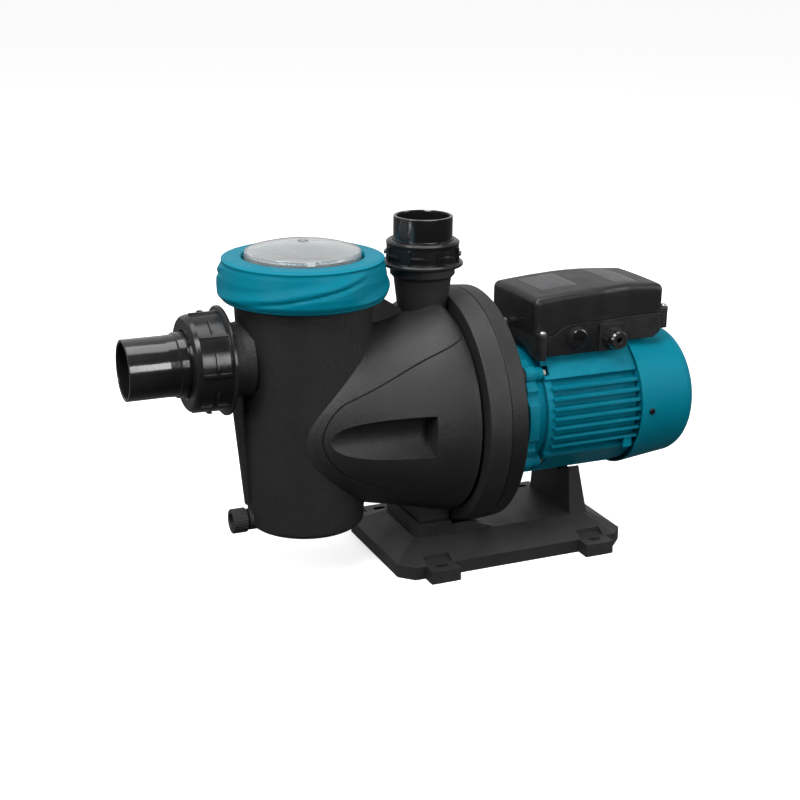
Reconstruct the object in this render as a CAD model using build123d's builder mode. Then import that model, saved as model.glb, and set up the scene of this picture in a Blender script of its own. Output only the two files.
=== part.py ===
"""Self-priming pool pump with strainer pot, close-coupled finned motor and terminal box.

Frame: origin on the floor at the centre of the base's four bolt slots, +Z up, the motor
towards +X and the suction port towards -X. Millimetres.
"""
import os
from math import cos, pi, radians, sin, sqrt

from build123d import *

# ---------------------------------------------------------------- driving dimensions
SHAFT_Z = 155.0            # motor and impeller axis above the floor
CASING_Z = 166.3           # centre of the casing flange, above the shaft for priming
FLANGE_FRONT_X = -60.2     # casing flange, front edge
SEAM_X = -36.7             # split face between casing and cover
COVER_BACK_X = -16.7       # cover ring, rear edge
FLANGE_R = 130.6           # casing flange at the split face
BELL_END_X = -64.3         # large end of the bell
BELL_END_R = 115.4

POT_X = -217.5             # strainer pot axis
POT_BOTTOM_Z = 55.0
POT_BOTTOM_R = 62.6
POT_SHOULDER_Z = 300.0
POT_SHOULDER_R = 72.2
POT_THREAD_R = 75.8
POT_RIM_Z = 326.0
POT_MOUTH_R = 66.5
WALL = 5.0                 # moulded wall of the pump body

SUCTION_Z = 243.6          # suction port axis
DRAIN_Z = 64.5             # drain plug axis
DISCHARGE_X = -82.8        # discharge port axis
SPIGOT_R = 31.5            # both union tails take 63 mm pipe fittings

BASE_LEFT_X = -138.0
BASE_RIGHT_X = 138.0
BASE_HALF_Y = 83.0
BASE_EDGE_H = 15.0
PLATEAU_Z = 31.5
PLATEAU_HALF_X = 107.0
PLATEAU_HALF_Y = 48.0
LUG_X = 94.5               # bolt lugs, either side of the origin
LUG_HALF_Y = 100.2
SLOT_Y = 87.0
SLOT_WIDTH = 9.0
SLOT_LENGTH = 15.0

MOTOR_FRONT_X = 16.0       # front face of the motor's flange
FLANGE_SCREW_PCR = 70.0    # pitch radius of the motor flange screws
HOUSING_X = (38.0, 153.0)  # finned housing, front and rear ends
MOTOR_R = 76.5             # circle over the fin tips
STATOR_BORE_R = 38.0
STATOR_R = 62.0
COVER_RIM_R = 81.0         # fan cover at its rim
COVER_END_R = 75.0
COVER_END_X = 230.7
BEARING_R = 20.0           # 17 x 40 x 12 ball bearing
BEARING_BORE_R = 8.53
BEARING_WIDTH = 12.0

BOX_X = (28.0, 195.0)      # terminal box, left and right ends
BOX_HALF_Y = 51.3
BOX_BOTTOM_Z = 224.0
PARTING_LOW_Z = 246.5      # parting line of the box at its left end
PARTING_HIGH_Z = 258.0

# ---------------------------------------------------------------- shared planes
SHAFT = Plane((0, 0, SHAFT_Z), x_dir=(0, 1, 0), z_dir=(1, 0, 0))
CASING = Plane((0, 0, CASING_Z), x_dir=(0, 1, 0), z_dir=(1, 0, 0))
POT = Plane((POT_X, 0, 0), x_dir=(1, 0, 0), z_dir=(0, 0, 1))
DISCHARGE = Plane((DISCHARGE_X, 0, 0), x_dir=(1, 0, 0), z_dir=(0, 0, 1))
SUCTION = Plane((POT_X, 0, SUCTION_Z), x_dir=(0, 1, 0), z_dir=(-1, 0, 0))
DRAIN = Plane((POT_X, 0, DRAIN_Z), x_dir=(0, 1, 0), z_dir=(-1, 0, 0))


# ---------------------------------------------------------------- shared shapes
def axis_of(base):
    """The line through a base plane's origin along its normal."""
    return Axis(base.origin, base.z_dir)


def turned(base, points):
    """A turned solid about the base plane's normal, from (radius, height) points."""
    with BuildPart() as solid:
        with BuildSketch(Plane(base.origin, x_dir=base.x_dir, z_dir=-base.y_dir)):
            with BuildLine():
                Polyline(*points, close=True)
            make_face()
        revolve(axis=axis_of(base))
    return solid.part


def tube(base, outer_r, inner_r, low, high):
    """A plain tube or ring on a base plane, between two heights."""
    return turned(base, [(inner_r, low), (outer_r, low), (outer_r, high), (inner_r, high)])


def rod(base, radius, low, high):
    """A plain round bar on a base plane, between two heights."""
    return turned(base, [(0, low), (radius, low), (radius, high), (0, high)])


def o_ring(base, height, radius, section_r):
    """A rubber ring of round section."""
    with BuildPart() as solid:
        with BuildSketch(Plane(base.origin, x_dir=base.x_dir, z_dir=-base.y_dir)):
            with Locations((radius, height)):
                Circle(section_r)
        revolve(axis=axis_of(base))
    return solid.part


def hex_screw(base, shank_r, shank_length, head_r, head_height):
    """A hexagon-head screw: its head stands on the base plane, its shank goes below."""
    with BuildPart() as solid:
        with BuildSketch(base):
            RegularPolygon(head_r, 6)
        extrude(amount=head_height)
        with BuildSketch(base):
            Circle(shank_r)
        extrude(amount=-shank_length)
    return solid.part


def pan_screw(base, shank_r, shank_length, head_r, head_height):
    """A domed cross-head screw: its head stands on the base plane, its shank goes below."""
    with BuildPart() as solid:
        add(turned(base, [(0, -shank_length), (shank_r, -shank_length), (shank_r, 0), (head_r, 0),
                          (head_r, 0.45 * head_height), (0.72 * head_r, head_height), (0, head_height)]))
        with BuildSketch(base.offset(head_height)):
            Rectangle(1.1 * head_r, 0.22 * head_r)
            Rectangle(0.22 * head_r, 1.1 * head_r)
        extrude(amount=-0.5 * head_height, mode=Mode.SUBTRACT)
    return solid.part


def save(piece, name):
    """Label a finished piece and write it to its own file."""
    piece.part.label = name
    export_step(piece.part, f"parts/{name}.step")


os.makedirs("parts", exist_ok=True)


# ---------------------------------------------------------------- base
def base_outline(inset):
    """The base's plan: a rectangle with cut corners."""
    x0 = BASE_LEFT_X + inset
    x1 = BASE_RIGHT_X - inset
    y1 = BASE_HALF_Y - inset
    cut = 15.0
    return [(x0 + cut, -y1), (x1 - cut, -y1), (x1, -y1 + cut), (x1, y1 - cut),
            (x1 - cut, y1), (x0 + cut, y1), (x0, y1 - cut), (x0, -y1 + cut)]


def base_body(inset):
    """The base's edge band and the sloping top that rises to its plateau."""
    corner = 6.0
    px = PLATEAU_HALF_X - inset
    py = PLATEAU_HALF_Y - inset
    plateau = [(-px + corner, -py), (px - corner, -py), (px, -py + corner), (px, py - corner),
               (px - corner, py), (-px + corner, py), (-px, py - corner), (-px, -py + corner)]
    with BuildPart() as solid:
        with BuildSketch(Plane.XY):
            Polygon(*base_outline(inset), align=None)
        extrude(amount=BASE_EDGE_H - inset)
        with BuildSketch(Plane.XY.offset(BASE_EDGE_H - inset)):
            Polygon(*base_outline(inset), align=None)
        with BuildSketch(Plane.XY.offset(PLATEAU_Z - inset)):
            Polygon(*plateau, align=None)
        loft(ruled=True)
    return solid.part


PLATFORM_TOP_Z = 46.0
POST_TOP_Z = 86.0
SADDLE_Z = 76.0             # flat under the motor's foot rail
FOOT_SCREW_X = -80.5
FOOT_SCREW_Y = 25.0
FOOT_SEAT_Z = 41.4
base_shell = base_body(0.0)
base_hollow = base_body(4.5)

with BuildPart() as base:
    add(base_shell)
    # bolt lugs, flush with the edge band, with a washer seat cut back into the slope
    with BuildSketch(Plane.XY):
        for side in (-1, 1):
            with Locations((-LUG_X, side * (LUG_HALF_Y - 12)), (LUG_X, side * (LUG_HALF_Y - 12))):
                Rectangle(24.2, 24)
    extrude(amount=BASE_EDGE_H)
    # platform under the casing foot, with a ramp down to the plateau
    with BuildSketch(Plane.XZ):
        with BuildLine():
            Polyline((-103.5, PLATEAU_Z - 6), (-102, PLATFORM_TOP_Z), (-58, PLATFORM_TOP_Z),
                     (-12, PLATEAU_Z), (-12, PLATEAU_Z - 6), close=True)
        make_face()
    extrude(amount=45.5, both=True)
    # fine vertical ribs along both sides of the platform
    with BuildSketch(Plane.XZ):
        for index in range(21):
            with Locations((-99 + 2.0 * index, 38.5)):
                Rectangle(0.9, 12)
    extrude(amount=46.0, both=True)
    # motor post: a wall across the base with a leaning rear face
    with BuildSketch(Plane.XY.offset(PLATEAU_Z - 2)):
        with Locations((95.5, 0)):
            Rectangle(22.0, 96)
    with BuildSketch(Plane.XY.offset(POST_TOP_Z)):
        with Locations((91.0, 0)):
            Rectangle(13.0, 81)
    loft(ruled=True)
    # room for the casing flange, and the saddle under the motor
    add(rod(CASING, 132.4, -64, 0), mode=Mode.SUBTRACT)
    add(rod(SHAFT, 79.0, 70, 120), mode=Mode.SUBTRACT)
    with BuildSketch(Plane.XY.offset(SADDLE_Z)):
        with Locations((95, 0)):
            Rectangle(40, 44)
    extrude(amount=20, mode=Mode.SUBTRACT)
    # hollow underside with cross webs
    add(base_hollow, mode=Mode.SUBTRACT)
    with BuildSketch(Plane.XY.offset(2)):
        with Locations((-100, 0), (-50, 0), (0, 0), (50, 0), (100, 0)):
            Rectangle(4, 2 * PLATEAU_HALF_Y)
    extrude(amount=PLATEAU_Z - 5)
    # washer seats and slots
    with BuildSketch(Plane.XY.offset(BASE_EDGE_H)):
        for side in (-1, 1):
            with Locations((-LUG_X, side * 82), (LUG_X, side * 82)):
                Rectangle(30, 24)
    extrude(amount=12, mode=Mode.SUBTRACT)
    with BuildSketch(Plane.XY):
        for side in (-1, 1):
            with Locations((-LUG_X, side * SLOT_Y), (LUG_X, side * SLOT_Y)):
                Rectangle(34, 26)
    extrude(amount=BASE_EDGE_H)
    with BuildSketch(Plane.XY):
        for side in (-1, 1):
            with Locations((-LUG_X, side * SLOT_Y), (LUG_X, side * SLOT_Y)):
                SlotOverall(SLOT_LENGTH, SLOT_WIDTH)
    extrude(amount=BASE_EDGE_H + 1, mode=Mode.SUBTRACT)
    # screw holes and head recesses under the casing foot
    with BuildSketch(Plane.XY):
        with Locations((FOOT_SCREW_X, -FOOT_SCREW_Y), (FOOT_SCREW_X, FOOT_SCREW_Y)):
            Circle(7.5)
    extrude(amount=FOOT_SEAT_Z, mode=Mode.SUBTRACT)
    with BuildSketch(Plane.XY):
        with Locations((FOOT_SCREW_X, -FOOT_SCREW_Y), (FOOT_SCREW_X, FOOT_SCREW_Y)):
            Circle(3.4)
    extrude(amount=PLATFORM_TOP_Z + 1, mode=Mode.SUBTRACT)
save(base, "base")


# ---------------------------------------------------------------- strainer pot and pump body
def bell(inset):
    """The casing bell between pot and flange: half-ellipse sections, flatter below."""
    sections = [  # distance from the pot axis, half width, height above axis, depth below
        (-42, 40.0, 40.0, 40.0), (-21, 63.5, 63.5, 63.5), (0, 78.0, 79.0, 76.0), (22, 87.0, 92.0, 85.0),
        (50, 94.5, 100.0, 93.0), (95, 103.5, 106.5, 103.0),
        (BELL_END_X - POT_X, BELL_END_R, BELL_END_R, BELL_END_R)]
    with BuildPart() as solid:
        for distance, width, height, depth in sections:
            with BuildSketch(Plane((POT_X + distance, 0, CASING_Z), x_dir=(0, 1, 0), z_dir=(1, 0, 0))):
                with BuildLine():
                    EllipticalCenterArc((0, 0), width - inset, height - inset, 0, arc_size=180)
                    EllipticalCenterArc((0, 0), width - inset, depth - inset, 180, arc_size=180)
                make_face()
        loft()
    return solid.part


def pot_outside():
    """The strainer pot: slightly tapered, with a rounded foot and a threaded mouth."""
    with BuildPart() as solid:
        with BuildSketch(Plane(POT.origin, x_dir=POT.x_dir, z_dir=-POT.y_dir)):
            with BuildLine():
                Line((0, POT_BOTTOM_Z), (POT_BOTTOM_R - 7, POT_BOTTOM_Z))
                RadiusArc((POT_BOTTOM_R - 7, POT_BOTTOM_Z), (POT_BOTTOM_R, POT_BOTTOM_Z + 7), -7)
                Polyline((POT_BOTTOM_R, POT_BOTTOM_Z + 7), (POT_SHOULDER_R, POT_SHOULDER_Z),
                         (POT_THREAD_R, POT_SHOULDER_Z + 4.5), (POT_THREAD_R, POT_RIM_Z), (0, POT_RIM_Z),
                         (0, POT_BOTTOM_Z))
            make_face()
        revolve(axis=axis_of(POT))
    return solid.part


def seam_groove():
    """The thin groove that outlines the bell's side panel, as a band right across the body."""
    with BuildPart() as solid:
        with BuildSketch(Plane.XZ):
            with BuildLine() as path:
                straight = Line((-66, 262.5), (-196, 208.5))
                Spline(straight @ 1, (-217, 190), (-224.5, 169), (-218, 148), (-200, 129), (-174, 116),
                       (-149, 105.5), tangents=(straight % 1, (1, -0.45)))
            trace(line_width=1.3)
        extrude(amount=130, both=True)
    return solid.part


POT_CAVITY = [(0, 61), (55, 61), (58.5, 65), (62.0, 292), (POT_MOUTH_R, 292), (POT_MOUTH_R, 340), (0, 340)]
THROAT_OUTER_R = 26.0
THROAT_INNER_R = 21.0
SCOOP_R = 22.0
COVER_SCREW_PCR = 119.5
pot_outer = pot_outside()
groove_cut = seam_groove() - bell(1.4)
SCOOPS = [Plane((0, side * 100.0, CASING_Z + 2), x_dir=(0, 1, 0), z_dir=(1, 0, 0)) for side in (-1, 1)]
bell_cavity = bell(WALL) - rod(SCOOPS[0], SCOOP_R + WALL, -240, -105) - rod(SCOOPS[1], SCOOP_R + WALL, -240, -105)

with BuildPart() as strainer_pot:
    add(pot_outer)
    # suction port, drain boss and the rib between them
    add(turned(SUCTION, [(0, 40), (40, 64), (38, 74), (38, 84), (41.0, 85), (41.8, 86.5), (41.8, 115),
                         (41, 116), (0, 116)]))
    add(rod(DRAIN, 11.5, 40, 66))
    with BuildSketch(Plane.XZ):
        Polygon((POT_X - 50, 215), (POT_X - 80.5, 215), (POT_X - 79.5, 197), (POT_X - 68.0, 82),
                (POT_X - 50, 80), align=None)
    extrude(amount=3.5, both=True)
    # throat tube that feeds the impeller
    add(rod(SHAFT, THROAT_OUTER_R, POT_X + 60, -110))
    # waterways and the union's seal groove
    add(turned(POT, POT_CAVITY), mode=Mode.SUBTRACT)
    add(rod(SHAFT, THROAT_INNER_R, POT_X + 50, -100), mode=Mode.SUBTRACT)
    add(rod(SUCTION, 29.0, 50, 117), mode=Mode.SUBTRACT)
    add(turned(DRAIN, [(0, 50), (4.5, 50), (4.5, 54), (7.2, 54), (7.2, 67), (0, 67)]), mode=Mode.SUBTRACT)
    add(tube(SUCTION, 37.2, 32.8, 112.8, 117), mode=Mode.SUBTRACT)
save(strainer_pot, "strainer_pot")

with BuildPart() as pot_room:
    # everything the pot takes up, which the bell is cut back to
    add(pot_outer)
    with BuildSketch(Plane.XY):
        with Locations((POT_X - 85, 0)):
            Rectangle(110, 200)
    extrude(amount=400)

with BuildPart() as pump_body:
    add(bell(0.0))
    # side panel outline and the pressed scoop on each side of the bell
    add(groove_cut, mode=Mode.SUBTRACT)
    for scoop in SCOOPS:
        add(rod(scoop, SCOOP_R, -235, -110), mode=Mode.SUBTRACT)
    # casing flange behind a deep groove
    add(turned(CASING, [(0, -80), (106, -80), (106, FLANGE_FRONT_X), (127.2, FLANGE_FRONT_X),
                        (127.9, FLANGE_FRONT_X + 0.8), (FLANGE_R, SEAM_X - 0.6), (FLANGE_R - 0.6, SEAM_X),
                        (0, SEAM_X)]))
    # discharge neck with its collar and thread
    add(turned(DISCHARGE, [(0, 240), (25.0, 240), (26.6, 278), (31.0, 313), (34.7, 317), (34.7, 339),
                           (33.9, 340), (0, 340)]))
    # web from the pot collar down to the neck
    with BuildSketch(Plane.XZ):
        Polygon((-151, 264), (-151, 300.5), (-140, 300.5), (-110, 281.5), (-104, 264), align=None)
    extrude(amount=5, both=True)
    # foot under the bell
    with BuildSketch(Plane.XY.offset(PLATFORM_TOP_Z)):
        with Locations((-80.5, 0)):
            Rectangle(36, 74)
    extrude(amount=40)
    # waterways: bell chamber and discharge port
    add(bell_cavity, mode=Mode.SUBTRACT)
    add(rod(CASING, 103.0, -72, 0), mode=Mode.SUBTRACT)
    add(turned(DISCHARGE, [(0, 240), (21.0, 240), (23.5, 300), (23.5, 341), (0, 341)]), mode=Mode.SUBTRACT)
    add(pot_room.part, mode=Mode.SUBTRACT)
    # seal grooves
    add(tube(CASING, 109.0, 103.4, SEAM_X - 3.4, SEAM_X), mode=Mode.SUBTRACT)
    add(tube(DISCHARGE, 30.6, 26.4, 337, 341), mode=Mode.SUBTRACT)
    # holes for the cover screws and the foot screws
    with BuildSketch(Plane(CASING.origin + Vector(SEAM_X, 0, 0), x_dir=(0, 1, 0), z_dir=(-1, 0, 0))):
        with PolarLocations(COVER_SCREW_PCR, 8, start_angle=22.5):
            Circle(3.15)
    extrude(amount=18, mode=Mode.SUBTRACT)
    with BuildSketch(Plane.XY.offset(PLATFORM_TOP_Z)):
        with Locations((FOOT_SCREW_X, -FOOT_SCREW_Y), (FOOT_SCREW_X, FOOT_SCREW_Y)):
            Circle(3.15)
    extrude(amount=12, mode=Mode.SUBTRACT)
save(pump_body, "pump_body")


# ---------------------------------------------------------------- casing cover and its fixings
with BuildPart() as casing_cover:
    # rim, plate and register
    add(turned(CASING, [(0, SEAM_X + 0.3), (FLANGE_R - 0.6, SEAM_X + 0.3), (FLANGE_R, SEAM_X + 0.9),
                        (129.3, COVER_BACK_X - 1.5), (127.8, COVER_BACK_X), (112, COVER_BACK_X), (109, -26),
                        (0, -26)]))
    add(rod(CASING, 102.6, -44, SEAM_X + 1))
    # bracket that reaches back to the motor flange
    add(turned(SHAFT, [(60, -27), (92, -27), (63, 6), (63, MOTOR_FRONT_X), (48, MOTOR_FRONT_X), (48, 10),
                       (54, 5), (82, -22), (60, -22)]))
    with BuildSketch(Plane(SHAFT.origin + Vector(MOTOR_FRONT_X, 0, 0), x_dir=(0, 1, 0), z_dir=(-1, 0, 0))):
        with PolarLocations(FLANGE_SCREW_PCR - 3, 4, start_angle=45):
            Circle(11.5)
    extrude(amount=9)
    with BuildSketch(Plane.XY):
        with Locations((-1.5, 0)):
            Rectangle(29, 96)
    extrude(amount=300, mode=Mode.SUBTRACT)
    # seal housing
    add(rod(SHAFT, 26.0, -44, -14))
    add(rod(SHAFT, 9.5, -50, 0), mode=Mode.SUBTRACT)
    add(rod(SHAFT, 17.0, -50, -34), mode=Mode.SUBTRACT)
    with BuildSketch(Plane(CASING.origin + Vector(-10, 0, 0), x_dir=(0, 1, 0), z_dir=(-1, 0, 0))):
        with PolarLocations(COVER_SCREW_PCR, 8, start_angle=22.5):
            Circle(3.4)
    extrude(amount=30, mode=Mode.SUBTRACT)
    with BuildSketch(Plane(CASING.origin + Vector(-10, 0, 0), x_dir=(0, 1, 0), z_dir=(-1, 0, 0))):
        with PolarLocations(COVER_SCREW_PCR, 8, start_angle=22.5):
            Circle(7.2)
    extrude(amount=12.5, mode=Mode.SUBTRACT)
    with BuildSketch(Plane(SHAFT.origin + Vector(MOTOR_FRONT_X, 0, 0), x_dir=(0, 1, 0), z_dir=(-1, 0, 0))):
        with PolarLocations(FLANGE_SCREW_PCR, 4, start_angle=45):
            Circle(2.7)
    extrude(amount=12, mode=Mode.SUBTRACT)
save(casing_cover, "casing_cover")

with BuildPart() as casing_o_ring:
    add(o_ring(CASING, SEAM_X - 1.5, 106.2, 1.7))
save(casing_o_ring, "casing_o_ring")

with BuildPart() as cover_screws:
    for index in range(8):
        angle = radians(22.5 + 45 * index)
        seat = Vector(-22.5, COVER_SCREW_PCR * cos(angle), CASING_Z + COVER_SCREW_PCR * sin(angle))
        add(hex_screw(Plane(seat, x_dir=(0, 1, 0), z_dir=(1, 0, 0)), 3.0, 30, 5.8, 4.0))
save(cover_screws, "cover_screws")

with BuildPart() as foot_screws:
    for y in (-FOOT_SCREW_Y, FOOT_SCREW_Y):
        add(hex_screw(Plane((FOOT_SCREW_X, y, FOOT_SEAT_Z), x_dir=(1, 0, 0), z_dir=(0, 0, -1)),
                      3.0, 15, 5.8, 4.0))
save(foot_screws, "foot_screws")

# ---------------------------------------------------------------- hydraulics
IMPELLER_X = (-92.0, -72.0)
DIFFUSER_R = 74.0
with BuildPart() as diffuser:
    add(turned(SHAFT, [(17.5, -122), (20.4, -122), (20.4, -103), (DIFFUSER_R, -97), (DIFFUSER_R, -44.3),
                       (DIFFUSER_R - 3, -44.3), (DIFFUSER_R - 3, -94), (17.5, -100)]))
    with BuildSketch(Plane(SHAFT.origin + Vector(-50, 0, 0), x_dir=(0, 1, 0), z_dir=(-1, 0, 0))):
        with PolarLocations(DIFFUSER_R - 2, 6, start_angle=15):
            Rectangle(14, 22)
    extrude(amount=30, mode=Mode.SUBTRACT)
save(diffuser, "diffuser")

with BuildPart() as diffuser_ring:
    add(tube(SHAFT, 20.8 - 0.1, 20.45, -118, -112))
save(diffuser_ring, "diffuser_ring")

with BuildPart() as impeller:
    add(turned(SHAFT, [(14.5, IMPELLER_X[0] - 2), (16.5, IMPELLER_X[0] - 2), (18, IMPELLER_X[0] + 3),
                       (62, IMPELLER_X[0] + 9), (62, IMPELLER_X[0] + 11.5), (18, IMPELLER_X[0] + 6),
                       (14.5, IMPELLER_X[0] + 3)]))
    add(tube(SHAFT, 62, 6.0, IMPELLER_X[1] - 3, IMPELLER_X[1]))
    add(tube(SHAFT, 11, 6.0, IMPELLER_X[0] + 2, IMPELLER_X[1] + 8))
    with BuildSketch(Plane(SHAFT.origin + Vector(IMPELLER_X[0] + 4, 0, 0), x_dir=(0, 1, 0), z_dir=(1, 0, 0))):
        for index in range(6):
            with BuildLine():
                a = radians(60 * index)
                inner = (15 * cos(a), 15 * sin(a))
                middle = (38 * cos(a - 0.55), 38 * sin(a - 0.55))
                outer = (61 * cos(a - 1.25), 61 * sin(a - 1.25))
                vane = ThreePointArc(inner, middle, outer)
            trace(vane, line_width=2.4)
    extrude(amount=IMPELLER_X[1] - IMPELLER_X[0] - 5)
save(impeller, "impeller")

with BuildPart() as impeller_nut:
    add(turned(SHAFT, [(6.1, -96), (9.5, -96), (9.5, -92), (11, -92), (11, -90.1), (6.1, -90.1)]))
    with BuildSketch(Plane(SHAFT.origin + Vector(-96, 0, 0), x_dir=(0, 1, 0), z_dir=(-1, 0, 0))):
        RegularPolygon(9.0, 6)
        Circle(6.1, mode=Mode.SUBTRACT)
    extrude(amount=5)
save(impeller_nut, "impeller_nut")

with BuildPart() as seal_seat:
    add(turned(SHAFT, [(9.6, -42.5), (16.9, -42.5), (16.9, -34.2), (9.6, -34.2)]))
save(seal_seat, "seal_seat")

with BuildPart() as seal_rotating:
    add(turned(SHAFT, [(8.0, -62.5), (15.5, -62.5), (15.5, -50), (13.5, -50), (13.5, -43.2), (9.6, -43.2),
                       (9.6, -50), (8.0, -50)]))
save(seal_rotating, "seal_rotating")

# ---------------------------------------------------------------- rotor
with BuildPart() as shaft:
    add(turned(SHAFT, [(0, -101.5), (5.5, -101.5), (6.0, -101), (6.0, -64), (8.0, -63.5), (8.0, 20),
                       (8.5, 21), (8.5, 50), (14.0, 51), (14.0, 140), (8.5, 141), (8.5, 176),
                       (7.0, 177), (7.0, 196), (6.5, 196.5), (0, 196.5)]))
save(shaft, "shaft")

with BuildPart() as slinger:
    add(turned(SHAFT, [(8.0, -2), (11, -2), (24, 1), (24, 3), (11, 4), (8.0, 4)]))
save(slinger, "slinger")

with BuildPart() as rotor_core:
    add(tube(SHAFT, STATOR_BORE_R - 0.45, 14.0, 64, 128))
save(rotor_core, "rotor_core")


def ball_bearing(front_x):
    """A closed ball bearing, rings and shields as one."""
    return turned(SHAFT, [(BEARING_BORE_R, front_x), (11.5, front_x), (12.2, front_x + 0.8),
                          (16.6, front_x + 0.8), (17.2, front_x), (BEARING_R - 0.05, front_x),
                          (BEARING_R - 0.05, front_x + BEARING_WIDTH), (17.2, front_x + BEARING_WIDTH),
                          (16.6, front_x + BEARING_WIDTH - 0.8), (12.2, front_x + BEARING_WIDTH - 0.8),
                          (11.5, front_x + BEARING_WIDTH), (BEARING_BORE_R, front_x + BEARING_WIDTH)])


FRONT_BEARING_X = 31.0
REAR_BEARING_X = 153.0
with BuildPart() as front_bearing:
    add(ball_bearing(FRONT_BEARING_X))
save(front_bearing, "front_bearing")
with BuildPart() as rear_bearing:
    add(ball_bearing(REAR_BEARING_X))
save(rear_bearing, "rear_bearing")

with BuildPart() as cooling_fan:
    add(tube(SHAFT, 13, 7.0, 178, 194))
    add(tube(SHAFT, 58, 13, 180, 182.5))
    with BuildSketch(Plane(SHAFT.origin + Vector(182, 0, 0), x_dir=(0, 1, 0), z_dir=(1, 0, 0))):
        with PolarLocations(37.0, 9):
            Rectangle(40, 2.4)
    extrude(amount=17)
save(cooling_fan, "cooling_fan")

# ---------------------------------------------------------------- motor
with BuildPart() as stator_core:
    add(tube(SHAFT, STATOR_R, STATOR_BORE_R, 62, 128))
save(stator_core, "stator_core")
with BuildPart() as front_winding:
    add(turned(SHAFT, [(42, 61.9), (42, 53), (45, 49), (56, 49), (59, 53), (59, 61.9)]))
save(front_winding, "front_winding")
with BuildPart() as rear_winding:
    add(turned(SHAFT, [(42, 128.1), (42, 138), (45, 142), (56, 142), (59, 138), (59, 128.1)]))
save(rear_winding, "rear_winding")

LEDGE_Y = 61.4             # side edge of the smooth upper panels
LEDGE_DZ = 45.7
FIN_PITCH = 10.8
FIN_TOP_DZ = 35.3
PAD_HALF_Y = 40.0
PAD_TOP_DZ = BOX_BOTTOM_Z - SHAFT_Z
HOUSING_LENGTH = HOUSING_X[1] - HOUSING_X[0]
HOUSING_END = Plane(SHAFT.origin + Vector(HOUSING_X[0], 0, 0), x_dir=(0, 1, 0), z_dir=(1, 0, 0))

with BuildPart() as motor_housing:
    with BuildSketch(HOUSING_END):
        Circle(68.0)
        # smooth panels from the box pad down to a ledge on each side
        with BuildLine():
            Polyline((-PAD_HALF_Y, PAD_TOP_DZ), (PAD_HALF_Y, PAD_TOP_DZ), (LEDGE_Y, LEDGE_DZ),
                     (LEDGE_Y - 3, LEDGE_DZ - 3), (50, 40), (-50, 40), (3 - LEDGE_Y, LEDGE_DZ - 3),
                     (-LEDGE_Y, LEDGE_DZ), close=True)
        make_face()
        # flat rails along the bottom corners
        with BuildLine():
            Polyline((-65.5, -39.0), (-63, -43.4), (-37, -66.9), (37, -66.9), (63, -43.4), (65.5, -39.0),
                     (48, -36), (-48, -36), close=True)
        make_face()
        with Locations((0, -70.5)):
            Rectangle(36, 12.0)
    extrude(amount=HOUSING_LENGTH)
    # horizontal side fins, their tips on one circle, stopping short of the front flange
    with BuildSketch(HOUSING_END.offset(6)):
        for index in range(7):
            height = FIN_TOP_DZ - FIN_PITCH * index
            tip = sqrt(MOTOR_R**2 - height**2)
            for side in (-1, 1):
                with Locations((side * (tip + 50) / 2, height)):
                    Rectangle(tip - 50, 2.8)
    extrude(amount=HOUSING_LENGTH - 6)
    # web that joins the fins at their front ends
    with BuildSketch(HOUSING_END):
        Circle(73.0)
        with Locations((0, 75), (0, -73)):
            Rectangle(160, 60, mode=Mode.SUBTRACT)
        Circle(60, mode=Mode.SUBTRACT)
    extrude(amount=8)
    # earth boss and foot lug
    with BuildSketch(Plane(SHAFT.origin + Vector(HOUSING_X[1] - 16, 0, 0), x_dir=(0, 1, 0), z_dir=(1, 0, 0))):
        for side in (-1, 1):
            with Locations((side * 61, -36.5)):
                Rectangle(17, 12)
    extrude(amount=10)
    # pockets for the flange screw heads, and the bores
    with BuildSketch(HOUSING_END):
        with PolarLocations(FLANGE_SCREW_PCR, 4, start_angle=45):
            Circle(8.5)
    extrude(amount=7, mode=Mode.SUBTRACT)
    add(rod(SHAFT, STATOR_R + 0.05, 30, 160), mode=Mode.SUBTRACT)
    with BuildSketch(Plane.XY.offset(SHAFT_Z + 40)):
        with Locations((95, 0)):
            SlotOverall(46, 24)
    extrude(amount=60, mode=Mode.SUBTRACT)
save(motor_housing, "motor_housing")

with BuildPart() as front_shield:
    # scalloped flange: a disc with four ears
    with BuildSketch(Plane(SHAFT.origin + Vector(MOTOR_FRONT_X + 0.2, 0, 0), x_dir=(0, 1, 0), z_dir=(1, 0, 0))):
        Circle(72.0)
        with PolarLocations(FLANGE_SCREW_PCR, 4, start_angle=45):
            Circle(9.5)
        with PolarLocations(78.5, 8, start_angle=22.5):
            Circle(10.5, mode=Mode.SUBTRACT)
    extrude(amount=12)
    add(rod(SHAFT, 67.5, MOTOR_FRONT_X + 12, HOUSING_X[0]))
    with BuildSketch(Plane(SHAFT.origin + Vector(HOUSING_X[0], 0, 0), x_dir=(0, 1, 0), z_dir=(-1, 0, 0))):
        with PolarLocations(FLANGE_SCREW_PCR, 4, start_angle=45):
            Circle(8.0)
    extrude(amount=12)
    add(rod(SHAFT, 47.9, MOTOR_FRONT_X - 5, MOTOR_FRONT_X + 1))
    add(rod(SHAFT, STATOR_R, 36, 44))
    add(rod(SHAFT, STATOR_R - 4, 37, 45), mode=Mode.SUBTRACT)
    add(rod(SHAFT, 25, 30, 45))
    add(rod(SHAFT, 10.0, 10, 60), mode=Mode.SUBTRACT)
    add(rod(SHAFT, BEARING_R, FRONT_BEARING_X, 60), mode=Mode.SUBTRACT)
    with BuildSketch(Plane(SHAFT.origin + Vector(MOTOR_FRONT_X, 0, 0), x_dir=(0, 1, 0), z_dir=(1, 0, 0))):
        with PolarLocations(FLANGE_SCREW_PCR, 4, start_angle=45):
            Circle(3.2)
    extrude(amount=40, mode=Mode.SUBTRACT)
save(front_shield, "front_shield")

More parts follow.
